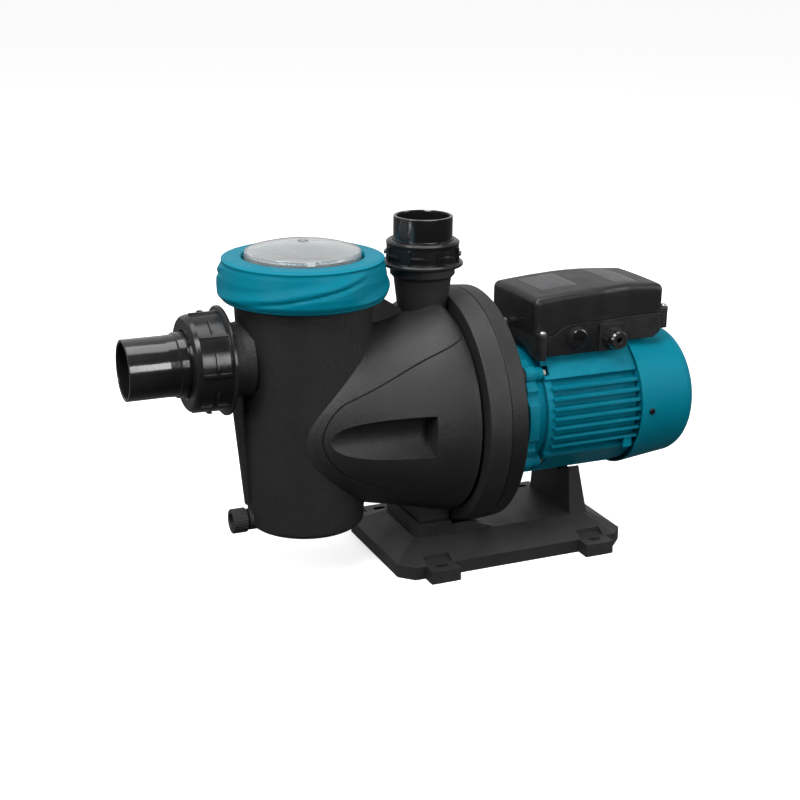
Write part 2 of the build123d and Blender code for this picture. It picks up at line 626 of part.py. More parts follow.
with BuildPart() as flange_screws:
    for index in range(4):
        angle = radians(45 + 90 * index)
        seat = Vector(HOUSING_X[0], FLANGE_SCREW_PCR * cos(angle), SHAFT_Z + FLANGE_SCREW_PCR * sin(angle))
        add(hex_screw(Plane(seat, x_dir=(0, 1, 0), z_dir=(1, 0, 0)), 2.6, 30, 5.4, 4.2))
save(flange_screws, "flange_screws")

with BuildPart() as rear_shield:
    add(turned(SHAFT, [(0, 153.0), (74, 153.0), (74, 156), (76.3, 156), (76.3, 171.5), (73.5, 171.5),
                       (73.5, 159), (26, 159), (26, 166.5), (0, 166.5)]))
    add(rod(SHAFT, STATOR_R, 146, 154))
    add(rod(SHAFT, STATOR_R - 4, 140, 153), mode=Mode.SUBTRACT)
    add(rod(SHAFT, 25, 147, 154))
    add(rod(SHAFT, BEARING_R, 140, REAR_BEARING_X + BEARING_WIDTH), mode=Mode.SUBTRACT)
    add(rod(SHAFT, 10, 140, 180), mode=Mode.SUBTRACT)
    with BuildSketch(Plane.XY.offset(SHAFT_Z)):
        with Locations((165.4, 0)):
            Circle(1.9)
    extrude(amount=90, both=True, mode=Mode.SUBTRACT)
    with BuildSketch(Plane.XZ):
        with Locations((165.4, SHAFT_Z)):
            Circle(1.9)
    extrude(amount=90, both=True, mode=Mode.SUBTRACT)
save(rear_shield, "rear_shield")

COVER_SKIN = 2.4
with BuildPart() as fan_cover:
    with BuildSketch(Plane(SHAFT.origin, x_dir=SHAFT.x_dir, z_dir=-SHAFT.y_dir)):
        with BuildLine():
            rim = (COVER_RIM_R, HOUSING_X[1])
            knee = (COVER_END_R, COVER_END_X - 19)
            back = (COVER_END_R - 19, COVER_END_X)
            Polyline((0, HOUSING_X[1]), rim, knee)
            RadiusArc(knee, back, -19)
            Polyline(back, (0, COVER_END_X), (0, HOUSING_X[1]))
        make_face()
        with BuildLine():
            rim_in = (COVER_RIM_R - COVER_SKIN, HOUSING_X[1])
            knee_in = (COVER_END_R - COVER_SKIN, COVER_END_X - 19)
            back_in = (COVER_END_R - 19, COVER_END_X - COVER_SKIN)
            Polyline((0, HOUSING_X[1]), rim_in, knee_in)
            RadiusArc(knee_in, back_in, -19 + COVER_SKIN)
            Polyline(back_in, (0, COVER_END_X - COVER_SKIN), (0, HOUSING_X[1]))
        make_face(mode=Mode.SUBTRACT)
    revolve(axis=axis_of(SHAFT))
    # rear grille: rings of slots round a solid hub
    grille = Plane(SHAFT.origin + Vector(COVER_END_X + 1, 0, 0), x_dir=(0, 1, 0), z_dir=(-1, 0, 0))
    with BuildSketch(grille):
        for radius, count in ((20, 8), (30, 12), (40, 16), (50, 20)):
            with PolarLocations(radius, count):
                SlotOverall(0.72 * 2 * pi * radius / count, 4.2, rotation=90)
    extrude(amount=6, mode=Mode.SUBTRACT)
    with BuildSketch(Plane.XY.offset(SHAFT_Z)):
        with Locations((165.4, 0)):
            Circle(2.4)
    extrude(amount=90, both=True, mode=Mode.SUBTRACT)
    with BuildSketch(Plane.XZ):
        with Locations((165.4, SHAFT_Z)):
            Circle(2.4)
    extrude(amount=90, both=True, mode=Mode.SUBTRACT)
save(fan_cover, "fan_cover")

with BuildPart() as fan_cover_screws:
    for index in range(4):
        angle = radians(90 * index)
        outward = Vector(0, cos(angle), sin(angle))
        seat = Vector(165.4, 0, SHAFT_Z) + outward * 80.3
        add(pan_screw(Plane(seat, x_dir=(1, 0, 0), z_dir=outward), 1.8, 7.5, 3.6, 1.9))
save(fan_cover_screws, "fan_cover_screws")

with BuildPart() as motor_pad:
    with BuildSketch(Plane(SHAFT.origin + Vector(86, 0, 0), x_dir=(0, 1, 0), z_dir=(1, 0, 0))):
        with Locations((0, -77.8)):
            Rectangle(40, 2.2)
    extrude(amount=9.5)
save(motor_pad, "motor_pad")


# ---------------------------------------------------------------- terminal box
def box_plan(inset, y_grow=0.0):
    """The box seen from above: the front wall steps back along a slanted facet."""
    x0 = BOX_X[0] + inset
    x1 = BOX_X[1] - inset
    front = -BOX_HALF_Y - y_grow + inset
    back = BOX_HALF_Y + y_grow - inset
    return [(x0, front), (113 + 0.2 * inset, front), (148 + 0.2 * inset, front + 7.3), (x1, front + 7.3),
            (x1, back), (x0, back)]


def box_block(inset, low, high, y_grow=0.0):
    """A block of the box's plan with rounded upright corners."""
    with BuildPart() as solid:
        with BuildSketch(Plane.XY.offset(low)):
            Polygon(*box_plan(inset, y_grow), align=None)
        extrude(amount=high - low)
        fillet(solid.edges().filter_by(Axis.Z), max(6.0 - inset, 1.5))
    return solid.part


def crown(drop):
    """Everything under the lid's gently crowned top, lowered by drop."""
    with BuildPart() as solid:
        with BuildSketch(Plane.XZ):
            with BuildLine():
                top = Spline((BOX_X[0] - 5, 289.0 - drop), (75, 293.6 - drop), (118, 295.4 - drop),
                             (152, 294.3 - drop), (BOX_X[1] + 5, 290.6 - drop))
                Polyline(top @ 1, (BOX_X[1] + 5, 200), (BOX_X[0] - 5, 200), top @ 0)
            make_face()
        extrude(amount=90, both=True)
    return solid.part


def above_parting(rise):
    """Everything above the line where lid and tray meet: low at the left, then an arc up."""
    x0 = BOX_X[0] - 20
    x1 = BOX_X[1] + 20
    low = PARTING_LOW_Z + rise
    high = PARTING_HIGH_Z + rise
    with BuildPart() as solid:
        with BuildSketch(Plane.XZ):
            with BuildLine():
                left = Line((x0, low), (47, low))
                climb = Spline(left @ 1, (62, low + 7.5), (82, high), tangents=((1, 0.1), (1, 0.08)))
                Polyline(climb @ 1, (x1, high), (x1, 330), (x0, 330), (x0, low))
            make_face()
        extrude(amount=90, both=True)
    return solid.part


BOX_WALL = 2.8
BOX_SCREWS = [  # x, y, seat height, and the direction from the screw to the box wall
    (34.5, -57.5, PARTING_LOW_Z, 0, 1), (23.5, 11.0, PARTING_LOW_Z, 1, 0),
    (199.5, -38.0, PARTING_HIGH_Z, -1, 0), (187.0, 57.5, PARTING_HIGH_Z, 0, -1)]
LID_FRAMES = [(72, 4, 40, 54), (153, 5, 25, 66)]  # centre and size of each framed panel in the crown
upper = above_parting(0.15)
lid_outside = box_block(0.0, 240, 300) & crown(0.0) & upper
lid_inside = box_block(BOX_WALL, 236, 300) & crown(BOX_WALL)
lower = box_block(0.0, BOX_BOTTOM_Z, 268, 2.2) - above_parting(-0.15)
tray_inside = (box_block(BOX_WALL, BOX_BOTTOM_Z + 3, 270, 2.2) - rod(SHAFT, COVER_RIM_R + 5.4, 149, 210)
               - rod(SHAFT, 84.8, 0, 41))
with BuildPart() as under_box:
    # room for the fan cover and the casing flange, and the tray's raised right end
    add(rod(SHAFT, COVER_RIM_R + 2.6, 151.5, 210))
    add(rod(SHAFT, 82.0, 0, HOUSING_X[0] + 0.3))
    with BuildSketch(Plane.XZ):
        Polygon((146, 220), (149, 231), (183, 231), (194, 239), (208, 239), (208, 220), align=None)
    extrude(amount=90, both=True)

with BuildPart() as frame_blank:
    with BuildSketch(Plane.XY.offset(280)):
        for x, y, length, width in LID_FRAMES:
            with Locations((x, y)):
                Rectangle(length, width)
                Rectangle(length - 2.4, width - 2.4, mode=Mode.SUBTRACT)
    extrude(amount=30)
lid_frames = frame_blank.part - crown(0.7)

with BuildPart() as terminal_lid:
    add(lid_outside)
    # screw ears beside the walls
    for x, y, seat, dx, dy in BOX_SCREWS:
        with BuildSketch(Plane.XY.offset(seat + 0.15)):
            with Locations((x, y)):
                Circle(5.2)
            with Locations((x + 4 * dx, y + 4 * dy)):
                Rectangle(10.4 - 2.4 * abs(dx), 10.4 - 2.4 * abs(dy))
        extrude(amount=5.0)
    add(lid_inside, mode=Mode.SUBTRACT)
    for x, y, seat, dx, dy in BOX_SCREWS:
        with BuildSketch(Plane.XY.offset(seat - 1)):
            with Locations((x, y)):
                Circle(2.3)
        extrude(amount=25, mode=Mode.SUBTRACT)
    add(lid_frames, mode=Mode.SUBTRACT)
save(terminal_lid, "terminal_lid")

GLAND_X = 122.0
GLAND_Z = 239.5
KNOCKOUT_X = 80.0
KNOCKOUT_Z = 242.0
TRAY_FRONT_Y = -BOX_HALF_Y - 2.2
GLAND = Plane((GLAND_X, TRAY_FRONT_Y, GLAND_Z), x_dir=(1, 0, 0), z_dir=(0, -1, 0))
KNOCKOUT = Plane((KNOCKOUT_X, TRAY_FRONT_Y, KNOCKOUT_Z), x_dir=(1, 0, 0), z_dir=(0, -1, 0))

with BuildPart() as terminal_tray:
    add(lower)
    # corner posts for the lid screws, flat bosses for gland and knock-out
    for x, y, seat, dx, dy in BOX_SCREWS:
        with BuildSketch(Plane.XY.offset(seat - 24)):
            with Locations((x, y)):
                Circle(5.0)
            with Locations((x + 4 * dx, y + 4 * dy)):
                Rectangle(10 - 2 * abs(dx), 10 - 2 * abs(dy))
        extrude(amount=23.85)
    with BuildSketch(GLAND):
        Rectangle(30, 30)
    extrude(amount=3.0)
    with BuildSketch(KNOCKOUT):
        Circle(12.5)
    extrude(amount=2.0)
    add(tray_inside, mode=Mode.SUBTRACT)
    add(under_box.part, mode=Mode.SUBTRACT)
    for x, y, seat, dx, dy in BOX_SCREWS:
        with BuildSketch(Plane.XY.offset(seat - 14)):
            with Locations((x, y)):
                Circle(1.9)
        extrude(amount=20, mode=Mode.SUBTRACT)
    add(rod(GLAND, 8.2, -10, 4), mode=Mode.SUBTRACT)
    add(rod(KNOCKOUT, 8.2, -10, 4), mode=Mode.SUBTRACT)
    # cable opening down into the motor
    with BuildSketch(Plane.XY.offset(BOX_BOTTOM_Z - 1)):
        with Locations((95, 0)):
            SlotOverall(40, 20)
    extrude(amount=6, mode=Mode.SUBTRACT)
save(terminal_tray, "terminal_tray")

with BuildPart() as lid_screws:
    for x, y, seat, dx, dy in BOX_SCREWS:
        add(pan_screw(Plane((x, y, seat + 5.15), x_dir=(1, 0, 0), z_dir=(0, 0, 1)), 1.8, 16, 3.8, 2.6))
save(lid_screws, "lid_screws")

with BuildPart() as blanking_plug:
    add(turned(KNOCKOUT, [(0, -4), (8.1, -4), (8.1, 2), (10.6, 2), (10.6, 4.6), (9.4, 5.2), (0, 5.2)]))
    with BuildSketch(KNOCKOUT.offset(5.2)):
        Rectangle(12, 2.4)
    extrude(amount=-2.0, mode=Mode.SUBTRACT)
save(blanking_plug, "blanking_plug")

with BuildPart() as gland_body:
    add(turned(GLAND, [(5.2, -6), (8.1, -6), (8.1, 3.05), (11.5, 3.05), (11.5, 8), (8.8, 8), (8.8, 15),
                       (5.2, 15)]))
    with BuildSketch(GLAND.offset(3.05)):
        RegularPolygon(12.6, 6)
        Circle(10, mode=Mode.SUBTRACT)
    extrude(amount=5)
save(gland_body, "gland_body")

with BuildPart() as gland_nut:
    add(turned(GLAND, [(8.9, 8.4), (11.4, 8.4), (11.4, 15), (10.6, 19), (9.0, 21), (6.6, 21), (6.6, 19.4),
                       (8.9, 17)]))
    with BuildSketch(GLAND.offset(8.4)):
        RegularPolygon(12.4, 6)
        Circle(10, mode=Mode.SUBTRACT)
    extrude(amount=6.5)
save(gland_nut, "gland_nut")

with BuildPart() as gland_seal:
    add(turned(GLAND, [(3.2, 6), (5.1, 6), (5.1, 15.2), (6.4, 15.6), (6.4, 20.0), (4.4, 20.6), (3.2, 19)]))
save(gland_seal, "gland_seal")

with BuildPart() as terminal_block:
    with BuildSketch(Plane.XY.offset(BOX_BOTTOM_Z + 3)):
        with Locations((65, -20)):
            Rectangle(46, 26)
    extrude(amount=11)
    with BuildSketch(Plane.XY.offset(BOX_BOTTOM_Z + 14)):
        for x in (49, 59.7, 70.3, 81):
            with Locations((x, -25), (x, -15)):
                Circle(2.6)
    extrude(amount=5)
    with BuildSketch(Plane.XY.offset(BOX_BOTTOM_Z + 14)):
        with Locations((54.4, -20), (65, -20), (75.6, -20)):
            Rectangle(1.6, 26)
    extrude(amount=9)
save(terminal_block, "terminal_block")

with BuildPart() as capacitor:
    add(turned(Plane((72, 25, 246), x_dir=(0, 1, 0), z_dir=(1, 0, 0)),
               [(0, -2), (15, -2), (17.5, 0), (17.5, 62), (16, 64), (0, 64)]))
save(capacitor, "capacitor")


# ---------------------------------------------------------------- strainer pot lid
RING_BASE_Z = 302.0
RING_SHOULDER_Z = 333.7
RING_TOP_Z = 347.0
with BuildPart() as lid_ring:
    add(turned(POT, [(76.4, RING_BASE_Z), (80.4, RING_BASE_Z), (84.0, 303.6), (85.6, 305.4), (85.2, 306.6),
                     (87.2, 307.6), (89.0, 311.5), (89.7, 317), (89.2, 324), (88.2, 331), (86.8, 338),
                     (85.4, 342.5), (82.6, 345.4), (79.0, 346.4), (65.2, RING_TOP_Z), (63.4, 346.7),
                     (62.8, 345.5), (62.8, RING_SHOULDER_Z), (76.4, RING_SHOULDER_Z)]))
    # three raised swoops for the hand, climbing round the side
    for step in range(6):
        angles = [radians(120 * index + 9.0 * step) for index in range(3)]
        faces = [Plane(POT.origin, x_dir=(cos(a), sin(a), 0), z_dir=(sin(a), -cos(a), 0)) for a in angles]
        with BuildSketch(*faces):
            with Locations((86.2, 311 + 3.4 * step)):
                Rectangle(7.0 - 0.35 * step, 6.0 + 0.6 * step)
        extrude(amount=7.0, both=True)
save(lid_ring, "lid_ring")

LID_FLANGE_Z = (326.3, 333.3)
LID_STEP_Z = 351.8
LID_TOP_Z = 361.5
LID_WALL = 3.2
LID_EDGE_R = 60.0
LID_RISE = LID_TOP_Z - LID_STEP_Z
DOME_R = (LID_EDGE_R**2 + LID_RISE**2) / (2 * LID_RISE)
with BuildPart() as lid_glass:
    with Locations((POT_X, 0, LID_TOP_Z - DOME_R)):
        Sphere(DOME_R)
        Sphere(DOME_R - LID_WALL, mode=Mode.SUBTRACT)
    add(rod(POT, LID_EDGE_R, 330, LID_TOP_Z + 1), mode=Mode.INTERSECT)
    add(tube(POT, LID_EDGE_R, LID_EDGE_R - 3.5, LID_FLANGE_Z[0], LID_STEP_Z - 1.7))
    add(tube(POT, 75.6, LID_EDGE_R - 3.5, LID_FLANGE_Z[0], LID_FLANGE_Z[1]))
    add(tube(POT, 73.6, 68.4, LID_FLANGE_Z[0] - 1, 330.9), mode=Mode.SUBTRACT)
save(lid_glass, "lid_glass")

with BuildPart() as lid_o_ring:
    add(o_ring(POT, 328.6, 71.0, 2.2))
save(lid_o_ring, "lid_o_ring")

# ---------------------------------------------------------------- strainer basket
BASKET_BOTTOM_Z = 82.0
BASKET_TOP_Z = 296.0
BASKET_FOOT_R = 53.0
BASKET_MOUTH_R = 59.0
BASKET_WALL = 2.4
PIN_Z = 302.5
with BuildPart() as strainer_basket:
    add(turned(POT, [(0, BASKET_BOTTOM_Z), (BASKET_FOOT_R, BASKET_BOTTOM_Z), (BASKET_MOUTH_R, 292.3),
                     (65.4, 292.3), (65.4, BASKET_TOP_Z), (56.6, BASKET_TOP_Z),
                     (BASKET_FOOT_R - BASKET_WALL, BASKET_BOTTOM_Z + 2.5), (0, BASKET_BOTTOM_Z + 2.5)]))
    # slots in rows round the wall
    spokes = [Plane(POT.origin, x_dir=(-sin(radians(20 * index)), cos(radians(20 * index)), 0),
                    z_dir=(cos(radians(20 * index)), sin(radians(20 * index)), 0)) for index in range(18)]
    with BuildSketch(*spokes):
        with Locations(*[(0, 107 + 32 * row) for row in range(4)]):
            Rectangle(5.0, 25.0)
    extrude(amount=70, mode=Mode.SUBTRACT)
    # drain holes in the bottom and the inlet window
    with BuildSketch(POT.offset(BASKET_BOTTOM_Z - 1)):
        with PolarLocations(20, 8):
            Rectangle(16, 5)
        with PolarLocations(40, 16):
            Rectangle(16, 5)
    extrude(amount=5, mode=Mode.SUBTRACT)
    add(rod(SUCTION, 27.0, 40, 70), mode=Mode.SUBTRACT)
    # pivots for the bail
    across = Plane(POT.origin, x_dir=(1, 0, 0), z_dir=(0, -1, 0))
    with BuildSketch(across.offset(-60), across.offset(57)):
        with Locations((0, 300.0)):
            Rectangle(10, 15)
    extrude(amount=3.0)
    with BuildSketch(across.offset(-59), across.offset(51.5)):
        with Locations((0, PIN_Z)):
            Circle(2.2)
    extrude(amount=7.5)
save(strainer_basket, "strainer_basket")

BAIL_R = 46.0
BAIL_WIRE_R = 2.6
with BuildPart() as basket_handle:
    for side in (-1, 1):
        eye = Plane(POT.origin + Vector(0, side * 56.8, PIN_Z), x_dir=(1, 0, 0), z_dir=(0, -side, 0))
        add(tube(eye, 4.4, 2.5, 0, 4.6))
    with BuildLine(Plane.XY.offset(PIN_Z)) as bail_path:
        Polyline((POT_X + 3.4, -54.5), (POT_X + 10, -54.5))
        RadiusArc((POT_X + 10, -54.5), (POT_X + 44, -20.5), -34)
        Line((POT_X + 44, -20.5), (POT_X + 44, 20.5))
        RadiusArc((POT_X + 44, 20.5), (POT_X + 10, 54.5), -34)
        Line((POT_X + 10, 54.5), (POT_X + 3.4, 54.5))
    with BuildSketch(Plane((POT_X + 3.4, -54.5, PIN_Z), x_dir=(0, 1, 0), z_dir=(1, 0, 0))):
        Circle(2.3)
    sweep(path=bail_path.line)
    with BuildSketch(Plane((POT_X + 44, -19, PIN_Z), x_dir=(1, 0, 0), z_dir=(0, 1, 0))):
        RectangleRounded(7.0, 5.4, 2.0)
    extrude(amount=38)
save(basket_handle, "basket_handle")


# ---------------------------------------------------------------- union couplings
def union_nut(base, bore_r, lip_r, low, high, flange_r, body_r, top_r, grips):
    """A union nut: flange at its open end, L-shaped grip ribs, rounded lip at the pipe end."""
    lip = high - 7.0
    with BuildPart() as solid:
        add(turned(base, [(bore_r, low), (flange_r - 1.2, low), (flange_r, low + 1.0), (flange_r, low + 3.2),
                          (flange_r - 1.6, low + 4.6), (body_r, low + 6.0), (body_r - 0.8, lip),
                          (top_r + 0.6, high - 2.6), (top_r - 1.6, high - 0.6), (top_r - 4.0, high),
                          (lip_r + 1.2, high), (lip_r, high - 1.2), (lip_r, lip - 0.6), (bore_r, lip - 0.6)]))
        middle = (low + 5 + lip) / 2
        height = lip - low - 5
        faces = []
        for index in range(grips):
            outward = base.x_dir.rotate(Axis((0, 0, 0), base.z_dir), 360 / grips * index)
            faces.append(Plane(base.origin + base.z_dir * middle + outward * (body_r - 3),
                               x_dir=base.z_dir.cross(outward), z_dir=outward))
        with BuildSketch(*faces):
            Rectangle(3.0, height)
            with Locations((0.11 * pi * body_r, 0.0)):
                Rectangle(0.22 * pi * body_r, 2.4)
        extrude(amount=4.6)
        add(turned(base, [(0, low - 1), (bore_r, low - 1), (bore_r, lip - 0.6), (lip_r, lip - 0.6),
                          (lip_r, high + 1), (0, high + 1)]), mode=Mode.SUBTRACT)
        add(tube(base, flange_r + 10, body_r + 2.0, low + 4.6, high + 2), mode=Mode.SUBTRACT)
    return solid.part


MOUTH_T = 191.8            # suction mouth, measured along the port from the pot axis
with BuildPart() as suction_nut:
    add(union_nut(SUCTION, 42.3, 34.8, 88.0, 129.6, 56.8, 51.2, 48.6, 8))
save(suction_nut, "suction_nut")

with BuildPart() as suction_tail:
    add(turned(SUCTION, [(29.0, 117.3), (41.6, 117.3), (41.6, 121.6), (34.2, 121.8), (34.2, 126), (33.6, 139),
                         (32.0, 140.5), (SPIGOT_R, 150), (SPIGOT_R, MOUTH_T - 0.6), (SPIGOT_R - 0.6, MOUTH_T),
                         (28.9, MOUTH_T), (28.4, MOUTH_T - 1), (27.6, MOUTH_T - 42), (25.15, MOUTH_T - 43),
                         (25.15, 128), (29.0, 122)]))
save(suction_tail, "suction_tail")

with BuildPart() as suction_o_ring:
    add(o_ring(SUCTION, 115.0, 35.0, 2.0))
save(suction_o_ring, "suction_o_ring")

DISCHARGE_TOP_Z = 379.0
with BuildPart() as discharge_nut:
    add(union_nut(DISCHARGE, 35.0, 32.2, 326.3, 354.0, 43.2, 39.3, 38.6, 8))
save(discharge_nut, "discharge_nut")

with BuildPart() as discharge_tail:
    top = DISCHARGE_TOP_Z
    add(turned(DISCHARGE, [(25.15, 341.1), (34.3, 341.1), (34.3, 346.0), (31.9, 346.2), (31.9, 354.6),
                           (SPIGOT_R, 355.0), (SPIGOT_R, top - 0.6), (SPIGOT_R - 0.6, top), (28.9, top),
                           (28.4, top - 1), (27.6, top - 26), (25.15, top - 27)]))
save(discharge_tail, "discharge_tail")

with BuildPart() as discharge_o_ring:
    add(o_ring(DISCHARGE, 338.9, 28.5, 1.8))
save(discharge_o_ring, "discharge_o_ring")

# ---------------------------------------------------------------- drain plug
with BuildPart() as drain_plug:
    add(turned(DRAIN, [(0, 55), (6.9, 55), (6.9, 68.6), (12.9, 68.6), (13.3, 69.2), (13.3, 83.6), (12.7, 84.3),
                       (9.0, 84.3), (8.6, 83.6), (8.6, 76), (0, 76)]))
    with BuildSketch(DRAIN.offset(69.2)):
        with PolarLocations(13.6, 24):
            Circle(0.7)
    extrude(amount=14, mode=Mode.SUBTRACT)
save(drain_plug, "drain_plug")

with BuildPart() as drain_o_ring:
    add(o_ring(DRAIN, 67.4, 8.4, 1.1))
save(drain_o_ring, "drain_o_ring")
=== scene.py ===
"""Looks for the pool pump: materials for every CAD node and detailed pieces over the plain ones."""

import math

import bpy
from mathutils import Matrix, Vector


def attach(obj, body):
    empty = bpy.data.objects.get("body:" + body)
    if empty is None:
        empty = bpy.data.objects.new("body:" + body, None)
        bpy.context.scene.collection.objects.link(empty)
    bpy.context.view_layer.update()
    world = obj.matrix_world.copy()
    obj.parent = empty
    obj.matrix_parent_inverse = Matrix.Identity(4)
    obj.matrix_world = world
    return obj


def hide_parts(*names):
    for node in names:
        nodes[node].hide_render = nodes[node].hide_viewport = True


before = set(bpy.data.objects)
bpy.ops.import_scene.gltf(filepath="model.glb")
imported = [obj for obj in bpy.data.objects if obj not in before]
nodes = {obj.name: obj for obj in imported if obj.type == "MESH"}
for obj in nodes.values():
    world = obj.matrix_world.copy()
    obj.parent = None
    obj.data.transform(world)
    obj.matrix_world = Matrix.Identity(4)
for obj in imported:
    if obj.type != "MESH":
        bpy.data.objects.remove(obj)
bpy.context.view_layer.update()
MM = 0.001
UP = Vector((0, 0, 1))

# ---------------------------------------------------------------- camera, lights, floor
CAMERA_PLACE = Vector((-0.70853, -1.37871, 0.66317))
CAMERA_AHEAD = Vector((0.3803, 0.8722, -0.3076)).normalized()
CAMERA_ROLL = math.radians(0.54)
CAMERA_LENS = 65.25
CAMERA_SENSOR = 36.0
FLOOR_REACH = 25.0
FLOOR_SHADE = 0.93
FLOOR_GLOW = 0.66
PUMP_MIDDLE = (-0.08, 0, 0.18)
POT_MIDDLE = (-0.32, 0, 0.25)


def make_camera():
    """A view from the front, turned towards the suction end, a little above the pump."""
    right = CAMERA_AHEAD.cross(UP).normalized()
    up = right.cross(CAMERA_AHEAD)
    side = right * math.cos(CAMERA_ROLL) + up * math.sin(CAMERA_ROLL)
    top = up * math.cos(CAMERA_ROLL) - right * math.sin(CAMERA_ROLL)
    data = bpy.data.cameras.new("camera")
    data.lens = CAMERA_LENS
    data.sensor_width = CAMERA_SENSOR
    data.clip_start = 0.05
    data.clip_end = 60.0
    camera = bpy.data.objects.new("camera", data)
    bpy.context.scene.collection.objects.link(camera)
    turn = Matrix((side, top, -CAMERA_AHEAD)).transposed()
    camera.matrix_world = Matrix.Translation(CAMERA_PLACE) @ turn.to_4x4()
    bpy.context.scene.camera = camera


def area_light(name, place, target, width, height, watts):
    """A white soft box aimed at a point."""
    data = bpy.data.lights.new(name, "AREA")
    data.shape = "RECTANGLE"
    data.size = width
    data.size_y = height
    data.energy = watts
    light = bpy.data.objects.new(name, data)
    bpy.context.scene.collection.objects.link(light)
    aim = Vector(target) - Vector(place)
    light.matrix_world = Matrix.Translation(place) @ aim.to_track_quat("-Z", "Y").to_matrix().to_4x4()


def make_floor():
    """A wide white floor with a faint glow, which isn't seen by bounced light."""
    mesh = bpy.data.meshes.new("floor")
    corners = [(-1, -1), (1, -1), (1, 1), (-1, 1)]
    mesh.from_pydata([(x * FLOOR_REACH, y * FLOOR_REACH, 0) for x, y in corners], [], [(0, 1, 2, 3)])
    floor = bpy.data.objects.new("floor", mesh)
    bpy.context.scene.collection.objects.link(floor)
    material = bpy.data.materials.new("floor")
    material.use_nodes = True
    shader = material.node_tree.nodes["Principled BSDF"]
    shader.inputs["Base Color"].default_value = (FLOOR_SHADE, FLOOR_SHADE, FLOOR_SHADE, 1)
    shader.inputs["Roughness"].default_value = 0.9
    shader.inputs["Specular IOR Level"].default_value = 0.1
    shader.inputs["Emission Color"].default_value = (1, 1, 1, 1)
    shader.inputs["Emission Strength"].default_value = FLOOR_GLOW
    mesh.materials.append(material)
    floor.visible_diffuse = False
    floor.visible_glossy = False


def make_stage():
    """The floor, the studio round it and five soft boxes."""
    make_floor()
    make_world()
    bpy.context.scene.view_settings.view_transform = "Standard"
    area_light("key_left", (-1.3, -1.1, 2.4), PUMP_MIDDLE, 1.1, 1.1, 52)
    area_light("top", (0.0, 0.1, 2.2), PUMP_MIDDLE, 2.0, 1.0, 22)
    area_light("right_rim", (1.8, -1.1, 1.0), PUMP_MIDDLE, 0.8, 1.6, 16)
    area_light("front_fill", (0.3, -2.2, 0.95), PUMP_MIDDLE, 0.5, 0.9, 15)
    area_light("left_strip", (-1.7, -0.7, 0.9), POT_MIDDLE, 0.35, 0.9, 8)


def make_world():
    """A studio with a bright backdrop, a dim front and little light from below the floor."""
    world = bpy.data.worlds.new("studio")
    world.use_nodes = True
    tree = world.node_tree
    split = tree.nodes.new("ShaderNodeSeparateXYZ")
    tree.links.new(tree.nodes.new("ShaderNodeTexCoord").outputs["Generated"], split.inputs["Vector"])
    behind = remap(tree, split.outputs["Y"], -0.3, 0.7, 0.12, 0.62)
    above = remap(tree, split.outputs["Z"], -0.10, 0.08, 0.22, 1.0)
    both = tree.nodes.new("ShaderNodeMath")
    both.operation = "MULTIPLY"
    tree.links.new(behind, both.inputs[0])
    tree.links.new(above, both.inputs[1])
    tree.links.new(both.outputs["Value"], tree.nodes["Background"].inputs["Strength"])
    tree.nodes["Background"].inputs["Color"].default_value = (1, 1, 1, 1)
    bpy.context.scene.world = world


# ---------------------------------------------------------------- materials
def add_noise(tree, coords, scale, detail=3.0, roughness=0.55):
    """A noise texture on the given coordinates."""
    node = tree.nodes.new("ShaderNodeTexNoise")
    node.inputs["Scale"].default_value = scale
    node.inputs["Detail"].default_value = detail
    node.inputs["Roughness"].default_value = roughness
    tree.links.new(coords, node.inputs["Vector"])
    return node.outputs["Fac"]


def remap(tree, value, low, high, to_low, to_high):
    """value moved from one range to another, clamped."""
    node = tree.nodes.new("ShaderNodeMapRange")
    tree.links.new(value, node.inputs["Value"])
    node.inputs["From Min"].default_value = low
    node.inputs["From Max"].default_value = high
    node.inputs["To Min"].default_value = to_low
    node.inputs["To Max"].default_value = to_high
    return node.outputs["Result"]


def mix_colour(tree, factor, first, second):
    """Two colours or sockets mixed by a factor socket."""
    node = tree.nodes.new("ShaderNodeMix")
    node.data_type = "RGBA"
    tree.links.new(factor, node.inputs["Factor"])
    for socket, value in ((node.inputs["A"], first), (node.inputs["B"], second)):
        if isinstance(value, tuple):
            socket.default_value = (*value, 1)
        else:
            tree.links.new(value, socket)
    return node.outputs["Result"]


DUST_COLOUR = (0.42, 0.40, 0.37)
HAZE_COLOUR = (0.97, 0.98, 0.98)
# distance between two bands of a wave texture at scale 1
WAVE_PERIOD = 0.314


